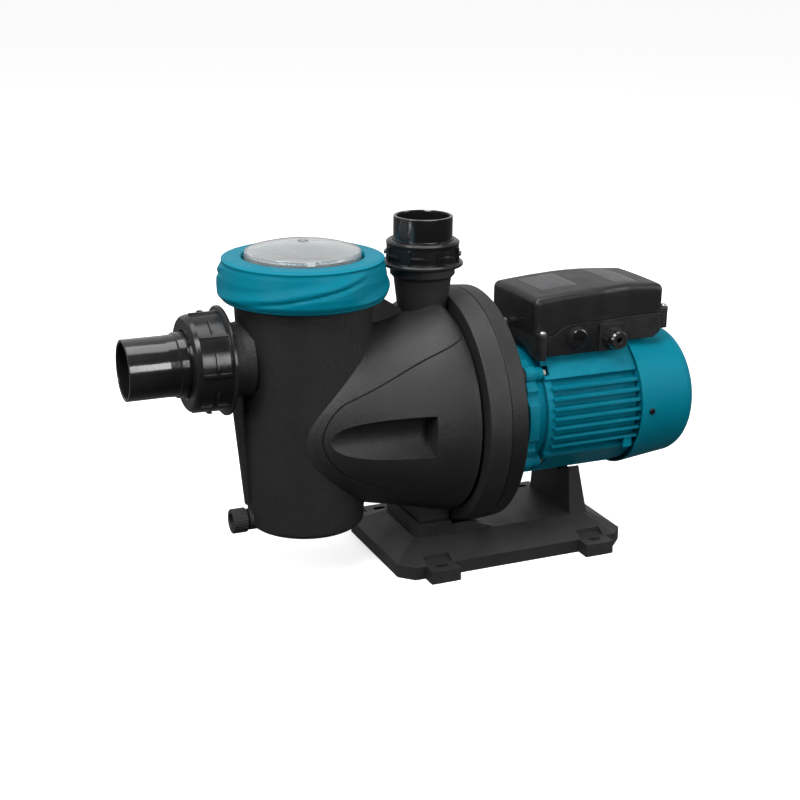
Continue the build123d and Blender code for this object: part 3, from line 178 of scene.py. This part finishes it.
def make_material(name, colour, rough, metallic=0.0, mottle=0.12, grain=0.0008, bump=0.15,
                  rough_spread=0.08, wear=0.0, wear_colour=(0.3, 0.3, 0.3), dust=0.0, coat=0.0,
                  specular=0.4, stretch=(1, 1, 1), radius=0.0):
    """A procedural surface: broad mottling, fine grain bump, uneven gloss, worn edges, dust on top."""
    material = bpy.data.materials.new(name)
    material.use_nodes = True
    tree = material.node_tree
    shader = tree.nodes["Principled BSDF"]
    coords = tree.nodes.new("ShaderNodeTexCoord").outputs["Object"]
    stretched = tree.nodes.new("ShaderNodeMapping")
    stretched.inputs["Scale"].default_value = stretch
    tree.links.new(coords, stretched.inputs["Vector"])
    grain_noise = add_noise(tree, stretched.outputs["Vector"], 1 / grain, 3.0)
    broad = add_noise(tree, coords, 14.0, 5.0, 0.6)
    darker = tuple(c * (1 - mottle) for c in colour)
    lighter = tuple(min(1.0, c * (1 + mottle)) for c in colour)
    shade = mix_colour(tree, remap(tree, broad, 0.3, 0.7, 0, 1), darker, lighter)
    if dust:
        normal = tree.nodes.new("ShaderNodeNewGeometry").outputs["Normal"]
        split = tree.nodes.new("ShaderNodeSeparateXYZ")
        tree.links.new(normal, split.inputs["Vector"])
        facing = remap(tree, split.outputs["Z"], 0.3, 1.0, 0.0, dust)
        shade = mix_colour(tree, facing, shade, DUST_COLOUR)
    if wear:
        pointy = tree.nodes.new("ShaderNodeNewGeometry").outputs["Pointiness"]
        patches = add_noise(tree, coords, 60.0, 4.0, 0.7)
        edge = remap(tree, pointy, 0.52, 0.60, 0.0, wear)
        both = tree.nodes.new("ShaderNodeMath")
        both.operation = "MULTIPLY"
        tree.links.new(edge, both.inputs[0])
        tree.links.new(remap(tree, patches, 0.35, 0.65, 0.3, 1.0), both.inputs[1])
        shade = mix_colour(tree, both.outputs["Value"], shade, wear_colour)
    tree.links.new(shade, shader.inputs["Base Color"])
    smears = add_noise(tree, coords, 45.0, 4.0, 0.65)
    uneven = remap(tree, smears, 0.25, 0.75, rough - rough_spread, rough + rough_spread)
    tree.links.new(uneven, shader.inputs["Roughness"])
    shader.inputs["Metallic"].default_value = metallic
    shader.inputs["Specular IOR Level"].default_value = specular
    shader.inputs["Coat Weight"].default_value = coat
    shader.inputs["Coat Roughness"].default_value = 0.12
    height = tree.nodes.new("ShaderNodeBump")
    height.inputs["Strength"].default_value = bump
    height.inputs["Distance"].default_value = grain
    tree.links.new(grain_noise, height.inputs["Height"])
    if radius:
        rounding = tree.nodes.new("ShaderNodeBevel")
        rounding.samples = 4
        rounding.inputs["Radius"].default_value = radius
        tree.links.new(rounding.outputs["Normal"], height.inputs["Normal"])
    tree.links.new(height.outputs["Normal"], shader.inputs["Normal"])
    return material


def make_clear(name, tint, rough):
    """Clear moulded plastic with faint haze and fine scratches."""
    material = bpy.data.materials.new(name)
    material.use_nodes = True
    tree = material.node_tree
    shader = tree.nodes["Principled BSDF"]
    coords = tree.nodes.new("ShaderNodeTexCoord").outputs["Object"]
    haze = add_noise(tree, coords, 30.0, 5.0, 0.6)
    tree.links.new(mix_colour(tree, haze, tint, HAZE_COLOUR), shader.inputs["Base Color"])
    tree.links.new(remap(tree, haze, 0.3, 0.75, rough, rough + 0.1), shader.inputs["Roughness"])
    shader.inputs["Transmission Weight"].default_value = 0.84
    shader.inputs["IOR"].default_value = 1.45
    scratches = tree.nodes.new("ShaderNodeBump")
    scratches.inputs["Strength"].default_value = 0.03
    scratches.inputs["Distance"].default_value = 0.0003
    tree.links.new(add_noise(tree, coords, 700.0, 2.0), scratches.inputs["Height"])
    tree.links.new(scratches.outputs["Normal"], shader.inputs["Normal"])
    return material


def make_striped(name, first, second, axis, pitch, rough, metallic):
    """Stacked laminations or wound wire: fine bands along one axis."""
    material = bpy.data.materials.new(name)
    material.use_nodes = True
    tree = material.node_tree
    shader = tree.nodes["Principled BSDF"]
    coords = tree.nodes.new("ShaderNodeTexCoord").outputs["Object"]
    bands = tree.nodes.new("ShaderNodeTexWave")
    bands.bands_direction = axis
    bands.inputs["Scale"].default_value = WAVE_PERIOD / pitch
    bands.inputs["Distortion"].default_value = 0.6
    tree.links.new(coords, bands.inputs["Vector"])
    tree.links.new(mix_colour(tree, bands.outputs["Fac"], first, second), shader.inputs["Base Color"])
    uneven = remap(tree, bands.outputs["Fac"], 0, 1, rough + 0.15, rough)
    tree.links.new(uneven, shader.inputs["Roughness"])
    shader.inputs["Metallic"].default_value = metallic
    height = tree.nodes.new("ShaderNodeBump")
    height.inputs["Strength"].default_value = 0.4
    height.inputs["Distance"].default_value = pitch
    tree.links.new(bands.outputs["Fac"], height.inputs["Height"])
    tree.links.new(height.outputs["Normal"], shader.inputs["Normal"])
    return material


moulding = make_material(
    "moulding", (0.021, 0.020, 0.0195), 0.46, mottle=0.12, grain=0.0012, bump=0.42, wear=0.25,
    wear_colour=(0.06, 0.058, 0.055), dust=0.012, radius=0.0007)
rear_moulding = make_material(
    "rear_moulding", (0.011, 0.0108, 0.0106), 0.42, mottle=0.12, grain=0.0012, bump=0.36, wear=0.25,
    wear_colour=(0.05, 0.048, 0.046), dust=0.012, radius=0.0007)
black_box = make_material(
    "black_box", (0.0095, 0.0095, 0.0108), 0.40, mottle=0.08, grain=0.0006, bump=0.10, wear=0.3,
    wear_colour=(0.06, 0.06, 0.06), dust=0.015, radius=0.0006)
black_gloss = make_material(
    "black_gloss", (0.008, 0.008, 0.009), 0.14, mottle=0.1, grain=0.004, bump=0.02, rough_spread=0.04,
    coat=0.6, wear=0.1)
nut_black = make_material(
    "nut_black", (0.010, 0.010, 0.011), 0.19, mottle=0.1, grain=0.0012, bump=0.08, wear=0.25,
    wear_colour=(0.05, 0.05, 0.05), radius=0.0005)
teal_plastic = make_material(
    "teal_plastic", (0.0, 0.185, 0.265), 0.42, specular=0.10, mottle=0.05, grain=0.0009, bump=0.10,
    wear=0.15, wear_colour=(0.03, 0.33, 0.42), radius=0.0006)
teal_paint = make_material(
    "teal_paint", (0.0, 0.185, 0.268), 0.40, specular=0.08, mottle=0.06, grain=0.0016, bump=0.14,
    wear=0.2, wear_colour=(0.05, 0.35, 0.45), radius=0.0006)
teal_cover = make_material(
    "teal_cover", (0.0, 0.185, 0.262), 0.46, specular=0.08, mottle=0.04, grain=0.0007, bump=0.12,
    wear=0.1, wear_colour=(0.03, 0.33, 0.42))
rubber = make_material("rubber", (0.012, 0.012, 0.012), 0.72, mottle=0.15, grain=0.0006, bump=0.2)
grey_plastic = make_material("grey_plastic", (0.035, 0.035, 0.035), 0.5, grain=0.0009, bump=0.15)
basket_plastic = make_material(
    "basket_plastic", (0.03, 0.032, 0.033), 0.5, mottle=0.15, grain=0.001, bump=0.15)
zinc = make_material(
    "zinc", (0.62, 0.60, 0.55), 0.32, metallic=1.0, mottle=0.12, grain=0.0005, bump=0.1, radius=0.0003)
black_steel = make_material(
    "black_steel", (0.02, 0.02, 0.022), 0.35, metallic=0.6, mottle=0.1, grain=0.0005, bump=0.1)
stainless = make_material(
    "stainless", (0.55, 0.55, 0.54), 0.28, metallic=1.0, mottle=0.06, grain=0.0006, bump=0.15,
    stretch=(0.15, 1, 1))
bearing = make_material(
    "bearing", (0.6, 0.6, 0.6), 0.18, metallic=1.0, mottle=0.05, grain=0.001, bump=0.05)
ceramic = make_material("ceramic", (0.72, 0.70, 0.64), 0.3, mottle=0.05, grain=0.0008, bump=0.05)
carbon = make_material("carbon", (0.03, 0.03, 0.032), 0.4, mottle=0.2, grain=0.0005, bump=0.1)
cream = make_material("cream", (0.55, 0.50, 0.38), 0.5, mottle=0.06, grain=0.0007, bump=0.1)
can = make_material("can", (0.62, 0.62, 0.60), 0.35, mottle=0.05, grain=0.0012, bump=0.06)
laminations = make_striped(
    "laminations", (0.30, 0.30, 0.31), (0.12, 0.12, 0.13), "X", 0.0011, 0.4, 1.0)
copper = make_striped("copper", (0.60, 0.24, 0.10), (0.30, 0.09, 0.04), "DIAGONAL", 0.0016, 0.25, 0.9)
label_grey = make_material(
    "label_grey", (0.050, 0.050, 0.054), 0.36, mottle=0.06, grain=0.0008, bump=0.08)
clear_lid = make_clear("clear_lid", (0.93, 0.96, 0.97), 0.02)

FINISHES = {
    moulding: "base pump_body strainer_pot drain_plug",
    rear_moulding: "casing_cover",
    black_box: "terminal_lid terminal_tray",
    black_gloss: "suction_tail discharge_tail blanking_plug gland_body gland_nut",
    nut_black: "suction_nut discharge_nut",
    teal_plastic: "lid_ring",
    teal_paint: "motor_housing front_shield rear_shield",
    teal_cover: "fan_cover",
    rubber: "casing_o_ring lid_o_ring suction_o_ring discharge_o_ring drain_o_ring gland_seal motor_pad "
            "slinger",
    grey_plastic: "diffuser impeller cooling_fan",
    basket_plastic: "strainer_basket basket_handle",
    black_steel: "fan_cover_screws",
    zinc: "cover_screws foot_screws flange_screws lid_screws",
    stainless: "shaft diffuser_ring impeller_nut",
    bearing: "front_bearing rear_bearing",
    ceramic: "seal_seat",
    carbon: "seal_rotating",
    cream: "terminal_block",
    can: "capacitor",
    laminations: "rotor_core stator_core",
    copper: "front_winding rear_winding",
    clear_lid: "lid_glass",
}
for finish, names in FINISHES.items():
    for name in names.split():
        mesh = nodes[name].data
        mesh.materials.clear()
        mesh.materials.append(finish)


# ---------------------------------------------------------------- mesh helpers
# a corner's arc takes at most this share of the runs beside it, and a flatter bend than this stays
CORNER_SHARE = 0.49
NEARLY_STRAIGHT = math.radians(88)


def add_piece(name, verts, faces, material, body, replaced=(), sharp=32):
    """A finished mesh piece in the part's frame, riding on a body."""
    mesh = bpy.data.meshes.new(name)
    mesh.from_pydata([tuple(v) for v in verts], [], faces)
    mesh.validate()
    mesh.shade_smooth()
    mesh.set_sharp_from_angle(angle=math.radians(sharp))
    mesh.materials.append(material)
    piece = bpy.data.objects.new(name, mesh)
    bpy.context.scene.collection.objects.link(piece)
    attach(piece, body)
    if replaced:
        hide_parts(*replaced)


def ring_faces(rings, around):
    """Faces between closed rings of verts, each with the same number of verts around."""
    faces = []
    for k in range(rings - 1):
        for i in range(around):
            j = (i + 1) % around
            faces.append((k * around + i, k * around + j, (k + 1) * around + j, (k + 1) * around + i))
    return faces


def rounded_path(points, steps=5):
    """A closed polyline of (a, b, corner radius) points with its corners rounded."""
    out = []
    count = len(points)
    for index, (a, b, radius) in enumerate(points):
        here = Vector((a, b))
        before = Vector(points[index - 1][:2])
        after = Vector(points[(index + 1) % count][:2])
        to_before = (before - here).normalized()
        to_after = (after - here).normalized()
        half = to_before.angle(to_after) / 2
        if radius <= 0 or half > NEARLY_STRAIGHT:
            out.append(here)
            continue
        shorter = min((before - here).length, (after - here).length)
        reach = min(radius / math.tan(half), shorter * CORNER_SHARE)
        first = here + to_before * reach
        last = here + to_after * reach
        for step in range(steps + 1):
            t = step / steps
            out.append(first.lerp(here, t).lerp(here.lerp(last, t), t))
    return out


def revolve(name, profile, material, body, replaced, segments, relief=None, sharp=32):
    """A closed (radius, height) profile turned round the pot's axis; relief(angle, r, h) gives a new r."""
    verts = []
    for index in range(segments):
        angle = 2 * math.pi * index / segments
        outward = Vector((math.cos(angle), math.sin(angle), 0))
        for r, h in profile:
            reach = relief(angle, r, h) if relief else r
            verts.append((POT + outward * reach + UP * h) * MM)
    count = len(profile)
    faces = []
    for i in range(segments):
        j = (i + 1) % segments
        for k in range(count):
            m = (k + 1) % count
            faces.append((i * count + k, j * count + k, j * count + m, i * count + m))
    add_piece(name, verts, faces, material, body, replaced, sharp)


def smooth_step(value, low, high):
    """0 below low, 1 above high, smooth between."""
    t = min(1.0, max(0.0, (value - low) / (high - low)))
    return t * t * (3 - 2 * t)


def resample(path, step):
    """A closed path with long runs divided into steps of about the given length."""
    out = []
    for index, here in enumerate(path):
        after = path[(index + 1) % len(path)]
        parts = max(1, round((after - here).length / step))
        out += [here.lerp(after, part / parts) for part in range(parts)]
    return out


def bump_at(value, centre, width):
    """A smooth bump of height 1."""
    return math.exp(-((value - centre) / width) ** 2)


# ---------------------------------------------------------------- strainer lid
POT = Vector((-217.5, 0, 0))

# screw ring: its outside wall, the three grip ridges that climb round it, its scalloped opening
RING_SIDE_LOW, RING_SIDE_HIGH = 303.5, 345.0
RING_SIDE_R = 80
RIDGE_STARTS = [math.radians(158 + 120 * index) for index in range(3)]
RIDGE_SPAN = math.radians(146)
RIDGE_LOW, RIDGE_CLIMB, RIDGE_BEND = 308.0, 33.0, 1.6
RIDGE_HEIGHT, RIDGE_WIDTH = 0.7, 2.6
STEP_DEPTH, STEP_START, STEP_END = 1.9, 0.5, 10.0
FOLD_DEPTH, FOLD_BELOW, FOLD_WIDTH = 1.3, 4.6, 1.7
FOOT_HEIGHT, FOOT_BELOW, FOOT_WIDTH = 0.5, 5.5, 4.0
RING_FADE = 3
MOUTH_R, MOUTH_LOW = 64, 344
SCALLOP_DEPTH, SCALLOP_TURNS = 0.8, 9

# clear lid: a cup with a rim below, fine ribs on its wall and a shallow dome on top
RIB_DEPTH, RIB_COUNT = 0.35, 72
RIB_LOW, RIB_HIGH, RIB_R = 336.5, 349.5, 59.4
DOME_EDGE_R, DOME_TOP, DOME_RISE = 60.0, 361.5, 9.7
DOME_R = (DOME_EDGE_R ** 2 + DOME_RISE ** 2) / (2 * DOME_RISE)
DOME_WALL = 3.2
DOME_STEPS = 18
AXIS_GAP = 0.4
TAB_ANGLE, TAB_SPAN, TAB_STEPS = 258, 7.4, 8
TAB_R, TAB_OUT_R, TAB_LOW, TAB_HIGH = 59.9, 61.2, 347.4, 351.4


def ring_relief(angle, r, h):
    """Three grip ridges that climb round the ring's side, and shallow scallops round its opening."""
    if r > RING_SIDE_R and RING_SIDE_LOW < h < RING_SIDE_HIGH:
        edge = (smooth_step(h, RING_SIDE_LOW, RING_SIDE_LOW + RING_FADE)
                * (1 - smooth_step(h, RING_SIDE_HIGH - RING_FADE, RING_SIDE_HIGH)))
        for start in RIDGE_STARTS:
            along = ((angle - start) % (2 * math.pi)) / RIDGE_SPAN
            if along < 1:
                climb = RIDGE_LOW + RIDGE_CLIMB * along ** RIDGE_BEND
                strength = smooth_step(along, 0.0, 0.15) * (1 - smooth_step(along, 0.9, 1.0))
                fold = smooth_step(along, 0.3, 0.6) * (1 - smooth_step(along, 0.8, 0.98))
                ridge = RIDGE_HEIGHT * bump_at(h, climb, RIDGE_WIDTH)
                above = STEP_DEPTH * smooth_step(h - climb, STEP_START, STEP_END)
                foot = FOOT_HEIGHT * smooth_step(climb - FOOT_BELOW - h, 0.0, FOOT_WIDTH)
                crease = FOLD_DEPTH * bump_at(h, climb - FOLD_BELOW, FOLD_WIDTH)
                r += edge * (strength * (ridge - above + foot) - fold * crease)
    if r < MOUTH_R and h > MOUTH_LOW:
        r += SCALLOP_DEPTH * abs(math.sin(SCALLOP_TURNS * angle)) ** 0.5
    return r


def make_screw_ring():
    """The ring's lathe profile, from its lower lip up the side, over the top and down the opening."""
    lower_lip = [(76.6, 302.2, 0.4), (80.4, 302.0, 1.0), (84.2, 303.7, 1.2), (85.2, 305.2, 0.5)]
    groove = [(84.6, 306.1, 0.4), (86.4, 306.9, 0.8)]
    side = [(88.4, 310.5, 4.0), (89.0, 318, 8.0), (88.4, 328, 8.0), (86.6, 338, 8.0)]
    top = [(84.6, 344.6, 3.4), (79.0, 346.3, 6.0), (64.6, 346.9, 1.4)]
    opening = [(62.8, 345.4, 1.0), (62.8, 333.7, 0.3), (76.6, 333.6, 0.5)]
    path = resample(rounded_path(lower_lip + groove + side + top + opening, 6), 1.5)
    revolve("screw_ring", path, teal_plastic, "lid_ring", ["lid_ring"], 360, ring_relief,
            sharp=50)


def glass_ribs(angle, r, h):
    """Fine moulded ribs on the clear lid's upright wall."""
    if r > RIB_R and RIB_LOW < h < RIB_HIGH:
        r += RIB_DEPTH * math.cos(RIB_COUNT * angle)
    return r


def dome_arc(radius, edge):
    """(radius, height) points over the dome from the edge to the middle."""
    low = DOME_TOP - DOME_R
    reaches = [edge * (1 - k / DOME_STEPS) for k in range(DOME_STEPS)]
    return [(r, low + math.sqrt(radius ** 2 - r ** 2)) for r in reaches]


def make_clear_cover():
    """The clear lid's lathe profile: rim, upright wall, dome, and back down the inside."""
    rim = [(75.6, 326.4), (75.6, 333.2), (60.2, 333.2)]
    wall = [(60.0, 336.0 + 2.8 * step) for step in range(5)]
    shoulder = [(60.1, 350.2), (59.8, 351.6)]
    middle = [(AXIS_GAP, DOME_TOP), (AXIS_GAP, DOME_TOP - DOME_WALL)]
    under_dome = dome_arc(DOME_R - DOME_WALL, 56.0)[::-1]
    inside = [(56.8, 348.2), (56.5, 345.5), (56.5, 327.0), (57.2, 326.4)]
    path = rim + wall + shoulder + dome_arc(DOME_R, 58.6) + middle + under_dome + inside
    revolve("clear_cover", path, clear_lid, "lid", ["lid_glass"], 288, glass_ribs)


def make_cover_mark():
    """A small raised ring in the middle of the dome."""
    path = rounded_path([(3.4, 361.0, 0), (3.4, 361.5, 0.1), (5.6, 361.45, 0.1), (5.6, 360.8, 0)], 2)
    revolve("cover_mark", path, grey_plastic, "lid", [], 64)


def make_tab():
    """The pale moulded tab on the lid's upright wall, as a small curved block."""
    verts = []
    for step in range(TAB_STEPS + 1):
        angle = math.radians(TAB_ANGLE + TAB_SPAN * (step / TAB_STEPS - 0.5))
        outward = Vector((math.cos(angle), math.sin(angle), 0))
        for r, h in ((TAB_R, TAB_LOW), (TAB_OUT_R, TAB_LOW), (TAB_OUT_R, TAB_HIGH), (TAB_R, TAB_HIGH)):
            verts.append((POT + outward * r + UP * h) * MM)
    last = 4 * TAB_STEPS
    faces = [face[::-1] for face in ring_faces(TAB_STEPS + 1, 4)]
    faces += [(0, 1, 2, 3), (last + 3, last + 2, last + 1, last)]
    add_piece("lid_tab", verts, faces, can, "lid")


make_screw_ring()
make_clear_cover()
make_cover_mark()
make_tab()


# ---------------------------------------------------------------- terminal box lid
# plan of the box: a rounded rectangle whose front steps back between STEP_LEFT and STEP_RIGHT
BOX_LEFT, BOX_RIGHT, BOX_HALF = 28.0, 195.0, 51.3
BOX_CORNER_R = 6.0
STEP_LEFT, STEP_RIGHT, STEP_IN, STEP_R = 113, 148, 7.3, 9.0
STEP_SLANT = 0.2
TOP_EDGE_R = 7.0
TOP_EDGE_STEPS = 8
TOP_INSETS = (10, 14, 19, 25, 32, 40)
LOOP_POINTS = 240

# heights along the box: the crown of its top, and its parting line, which climbs over the glands
CROWN = [(23, 289.0), (50, 291.6), (75, 293.6), (100, 295.0), (118, 295.4), (135, 295.2), (152, 294.3),
         (175, 292.6), (200, 290.6)]
CROSS_CROWN = 1.2
PARTING_LOW, PARTING_HIGH = 246.65, 258.15
PARTING = [(8, PARTING_LOW), (47, PARTING_LOW), (54, 249.2), (62, 253.9), (70, 256.6), (78, 257.9),
           (84, PARTING_HIGH), (215, PARTING_HIGH)]

# ears for the lid screws: screw place, a place inside the wall, height of the underside
EARS = {
    "ear_front": ((34.5, -57.5), (34.5, -49.0), PARTING_LOW),
    "ear_left": ((23.5, 11.0), (31.0, 11.0), PARTING_LOW),
    "ear_right": ((199.5, -38.0), (192.0, -38.0), PARTING_HIGH),
    "ear_back": ((187.0, 57.5), (187.0, 49.0), PARTING_HIGH),
}
EAR_RINGS = ((5.2, 0.0), (5.2, 4.4), (5.0, 4.8), (4.6, 5.0))
EAR_STEPS = 20

# two blank plates on the top, by their x and y ranges, each on a slightly larger glossy edge
PLATES = {"label_left": ((52, 92), (-23, 31)), "label_right": ((140.5, 165.5), (-28, 38))}
PLATE_ROWS, PLATE_COLUMNS = 14, 10
PLATE_LIFT, PLATE_DEPTH, PLATE_BEVEL = 0.32, 0.6, 0.175
PLATE_RIM, PLATE_RIM_LIFT = 1.3, 0.18


def along_curve(points, x):
    """The height at x of a curve given by (x, z) points, straight between them."""
    for (x0, z0), (x1, z1) in zip(points, points[1:]):
        if x <= x1:
            return z0 + (z1 - z0) * (x - x0) / (x1 - x0)
    return points[-1][1]


def crown_height(x, y):
    """The lid's top: crowned along its length and slightly across it."""
    return along_curve(CROWN, x) - CROSS_CROWN * (y / BOX_HALF) ** 2


def box_corners(inset):
    """The corners of the box's plan seen from above with their radii, moved inwards by inset."""
    corner = max(BOX_CORNER_R - inset, 1.0)
    step = max(STEP_R - inset, 2.0)
    slant = STEP_SLANT * inset
    front, back = -BOX_HALF + inset, BOX_HALF - inset
    left, right = BOX_LEFT + inset, BOX_RIGHT - inset
    stepped = front + STEP_IN
    return [(left, front, corner), (STEP_LEFT + slant, front, step), (STEP_RIGHT + slant, stepped, step),
            (right, stepped, corner), (right, back, corner), (left, back, corner)]


def loop_points(inset):
    """The plan loop at an inset, as a fixed number of evenly spaced points."""
    path = rounded_path(box_corners(inset), 8)
    lengths = [(path[(k + 1) % len(path)] - path[k]).length for k in range(len(path))]
    total = sum(lengths)
    out, k, walked = [], 0, 0.0
    for index in range(LOOP_POINTS):
        target = total * index / LOOP_POINTS
        while walked + lengths[k] < target:
            walked += lengths[k]
            k += 1
        out.append(path[k].lerp(path[(k + 1) % len(path)], (target - walked) / lengths[k]))
    return out


def make_box_lid():
    """The lid as one shell: a lip, side walls, a rounded top edge and a crowned top, open below."""
    # inset, rise above the parting line, share of the wall's height
    wall = [(2.8, 0.0, 0.0), (0.5, 0.0, 0.0), (0.0, 0.5, 0.0)]
    wall += [(0.0, 0.0, share) for share in (0.2, 0.5, 0.8)]
    # inset, drop below the crown
    top = []
    for step in range(TOP_EDGE_STEPS + 1):
        turn = math.radians(90 * step / TOP_EDGE_STEPS)
        top.append((TOP_EDGE_R * (1 - math.cos(turn)), TOP_EDGE_R * (1 - math.sin(turn))))
    top += [(inset, 0.0) for inset in TOP_INSETS]
    verts = []
    for inset, rise, share in wall:
        for point in loop_points(inset):
            low = along_curve(PARTING, point.x)
            high = crown_height(point.x, point.y) - TOP_EDGE_R
            verts.append((point.x * MM, point.y * MM, (low + rise + share * (high - low)) * MM))
    for inset, drop in top:
        for point in loop_points(inset):
            verts.append((point.x * MM, point.y * MM, (crown_height(point.x, point.y) - drop) * MM))
    levels = len(wall) + len(top)
    faces = ring_faces(levels, LOOP_POINTS)
    start, end = (levels - 1) * LOOP_POINTS, levels * LOOP_POINTS - 1
    faces += [(start + i, start + i + 1, end - 1 - i, end - i) for i in range(LOOP_POINTS // 2 - 1)]
    add_piece("box_lid", verts, faces, black_box, "pump", ["terminal_lid"], sharp=40)


def make_ear(name, outer, inner, low):
    """A round-ended ear that reaches from a lid screw to the box wall, its top edge softened."""
    way = math.atan2(outer[1] - inner[1], outer[0] - inner[0])
    verts = []
    for radius, height in EAR_RINGS:
        for end, first in ((outer, way - math.pi / 2), (inner, way + math.pi / 2)):
            for step in range(EAR_STEPS + 1):
                angle = first + math.pi * step / EAR_STEPS
                x = end[0] + radius * math.cos(angle)
                y = end[1] + radius * math.sin(angle)
                verts.append((x * MM, y * MM, (low + height) * MM))
    around = 2 * (EAR_STEPS + 1)
    faces = ring_faces(len(EAR_RINGS), around)
    faces.append(tuple(range(around))[::-1])
    faces.append(tuple(range((len(EAR_RINGS) - 1) * around, len(EAR_RINGS) * around)))
    add_piece(name, verts, faces, black_box, "pump", sharp=40)


def make_plate(name, x_range, y_range, lift, material):
    """A thin plate that follows the crown, with a fine bevel, set on the lid."""
    verts, faces = [], []
    for upper in (False, True):
        for i in range(PLATE_ROWS + 1):
            for j in range(PLATE_COLUMNS + 1):
                x = x_range[0] + (x_range[1] - x_range[0]) * i / PLATE_ROWS
                y = y_range[0] + (y_range[1] - y_range[0]) * j / PLATE_COLUMNS
                on_rim = i in (0, PLATE_ROWS) or j in (0, PLATE_COLUMNS)
                above = lift - (PLATE_BEVEL if on_rim else 0.0) if upper else -PLATE_DEPTH
                verts.append((x * MM, y * MM, (crown_height(x, y) + above) * MM))
    size = (PLATE_ROWS + 1) * (PLATE_COLUMNS + 1)

    def at(upper, i, j):
        return upper * size + i * (PLATE_COLUMNS + 1) + j

    for i in range(PLATE_ROWS):
        for j in range(PLATE_COLUMNS):
            faces.append((at(1, i, j), at(1, i + 1, j), at(1, i + 1, j + 1), at(1, i, j + 1)))
            faces.append((at(0, i, j), at(0, i, j + 1), at(0, i + 1, j + 1), at(0, i + 1, j)))
    far = PLATE_COLUMNS
    for i in range(PLATE_ROWS):
        faces.append((at(0, i, 0), at(0, i + 1, 0), at(1, i + 1, 0), at(1, i, 0)))
        faces.append((at(0, i, far), at(1, i, far), at(1, i + 1, far), at(0, i + 1, far)))
    far = PLATE_ROWS
    for j in range(PLATE_COLUMNS):
        faces.append((at(0, 0, j), at(1, 0, j), at(1, 0, j + 1), at(0, 0, j + 1)))
        faces.append((at(0, far, j), at(0, far, j + 1), at(1, far, j + 1), at(1, far, j)))
    add_piece(name, verts, faces, material, "pump")


make_box_lid()
for ear, (outer, inner, low) in EARS.items():
    make_ear(ear, outer, inner, low)
for plate, (x_range, y_range) in PLATES.items():
    wider = (x_range[0] - PLATE_RIM, x_range[1] + PLATE_RIM)
    longer = (y_range[0] - PLATE_RIM, y_range[1] + PLATE_RIM)
    make_plate(plate + "_edge", wider, longer, PLATE_RIM_LIFT, black_gloss)
    make_plate(plate, x_range, y_range, PLATE_LIFT, label_grey)

make_camera()
make_stage()
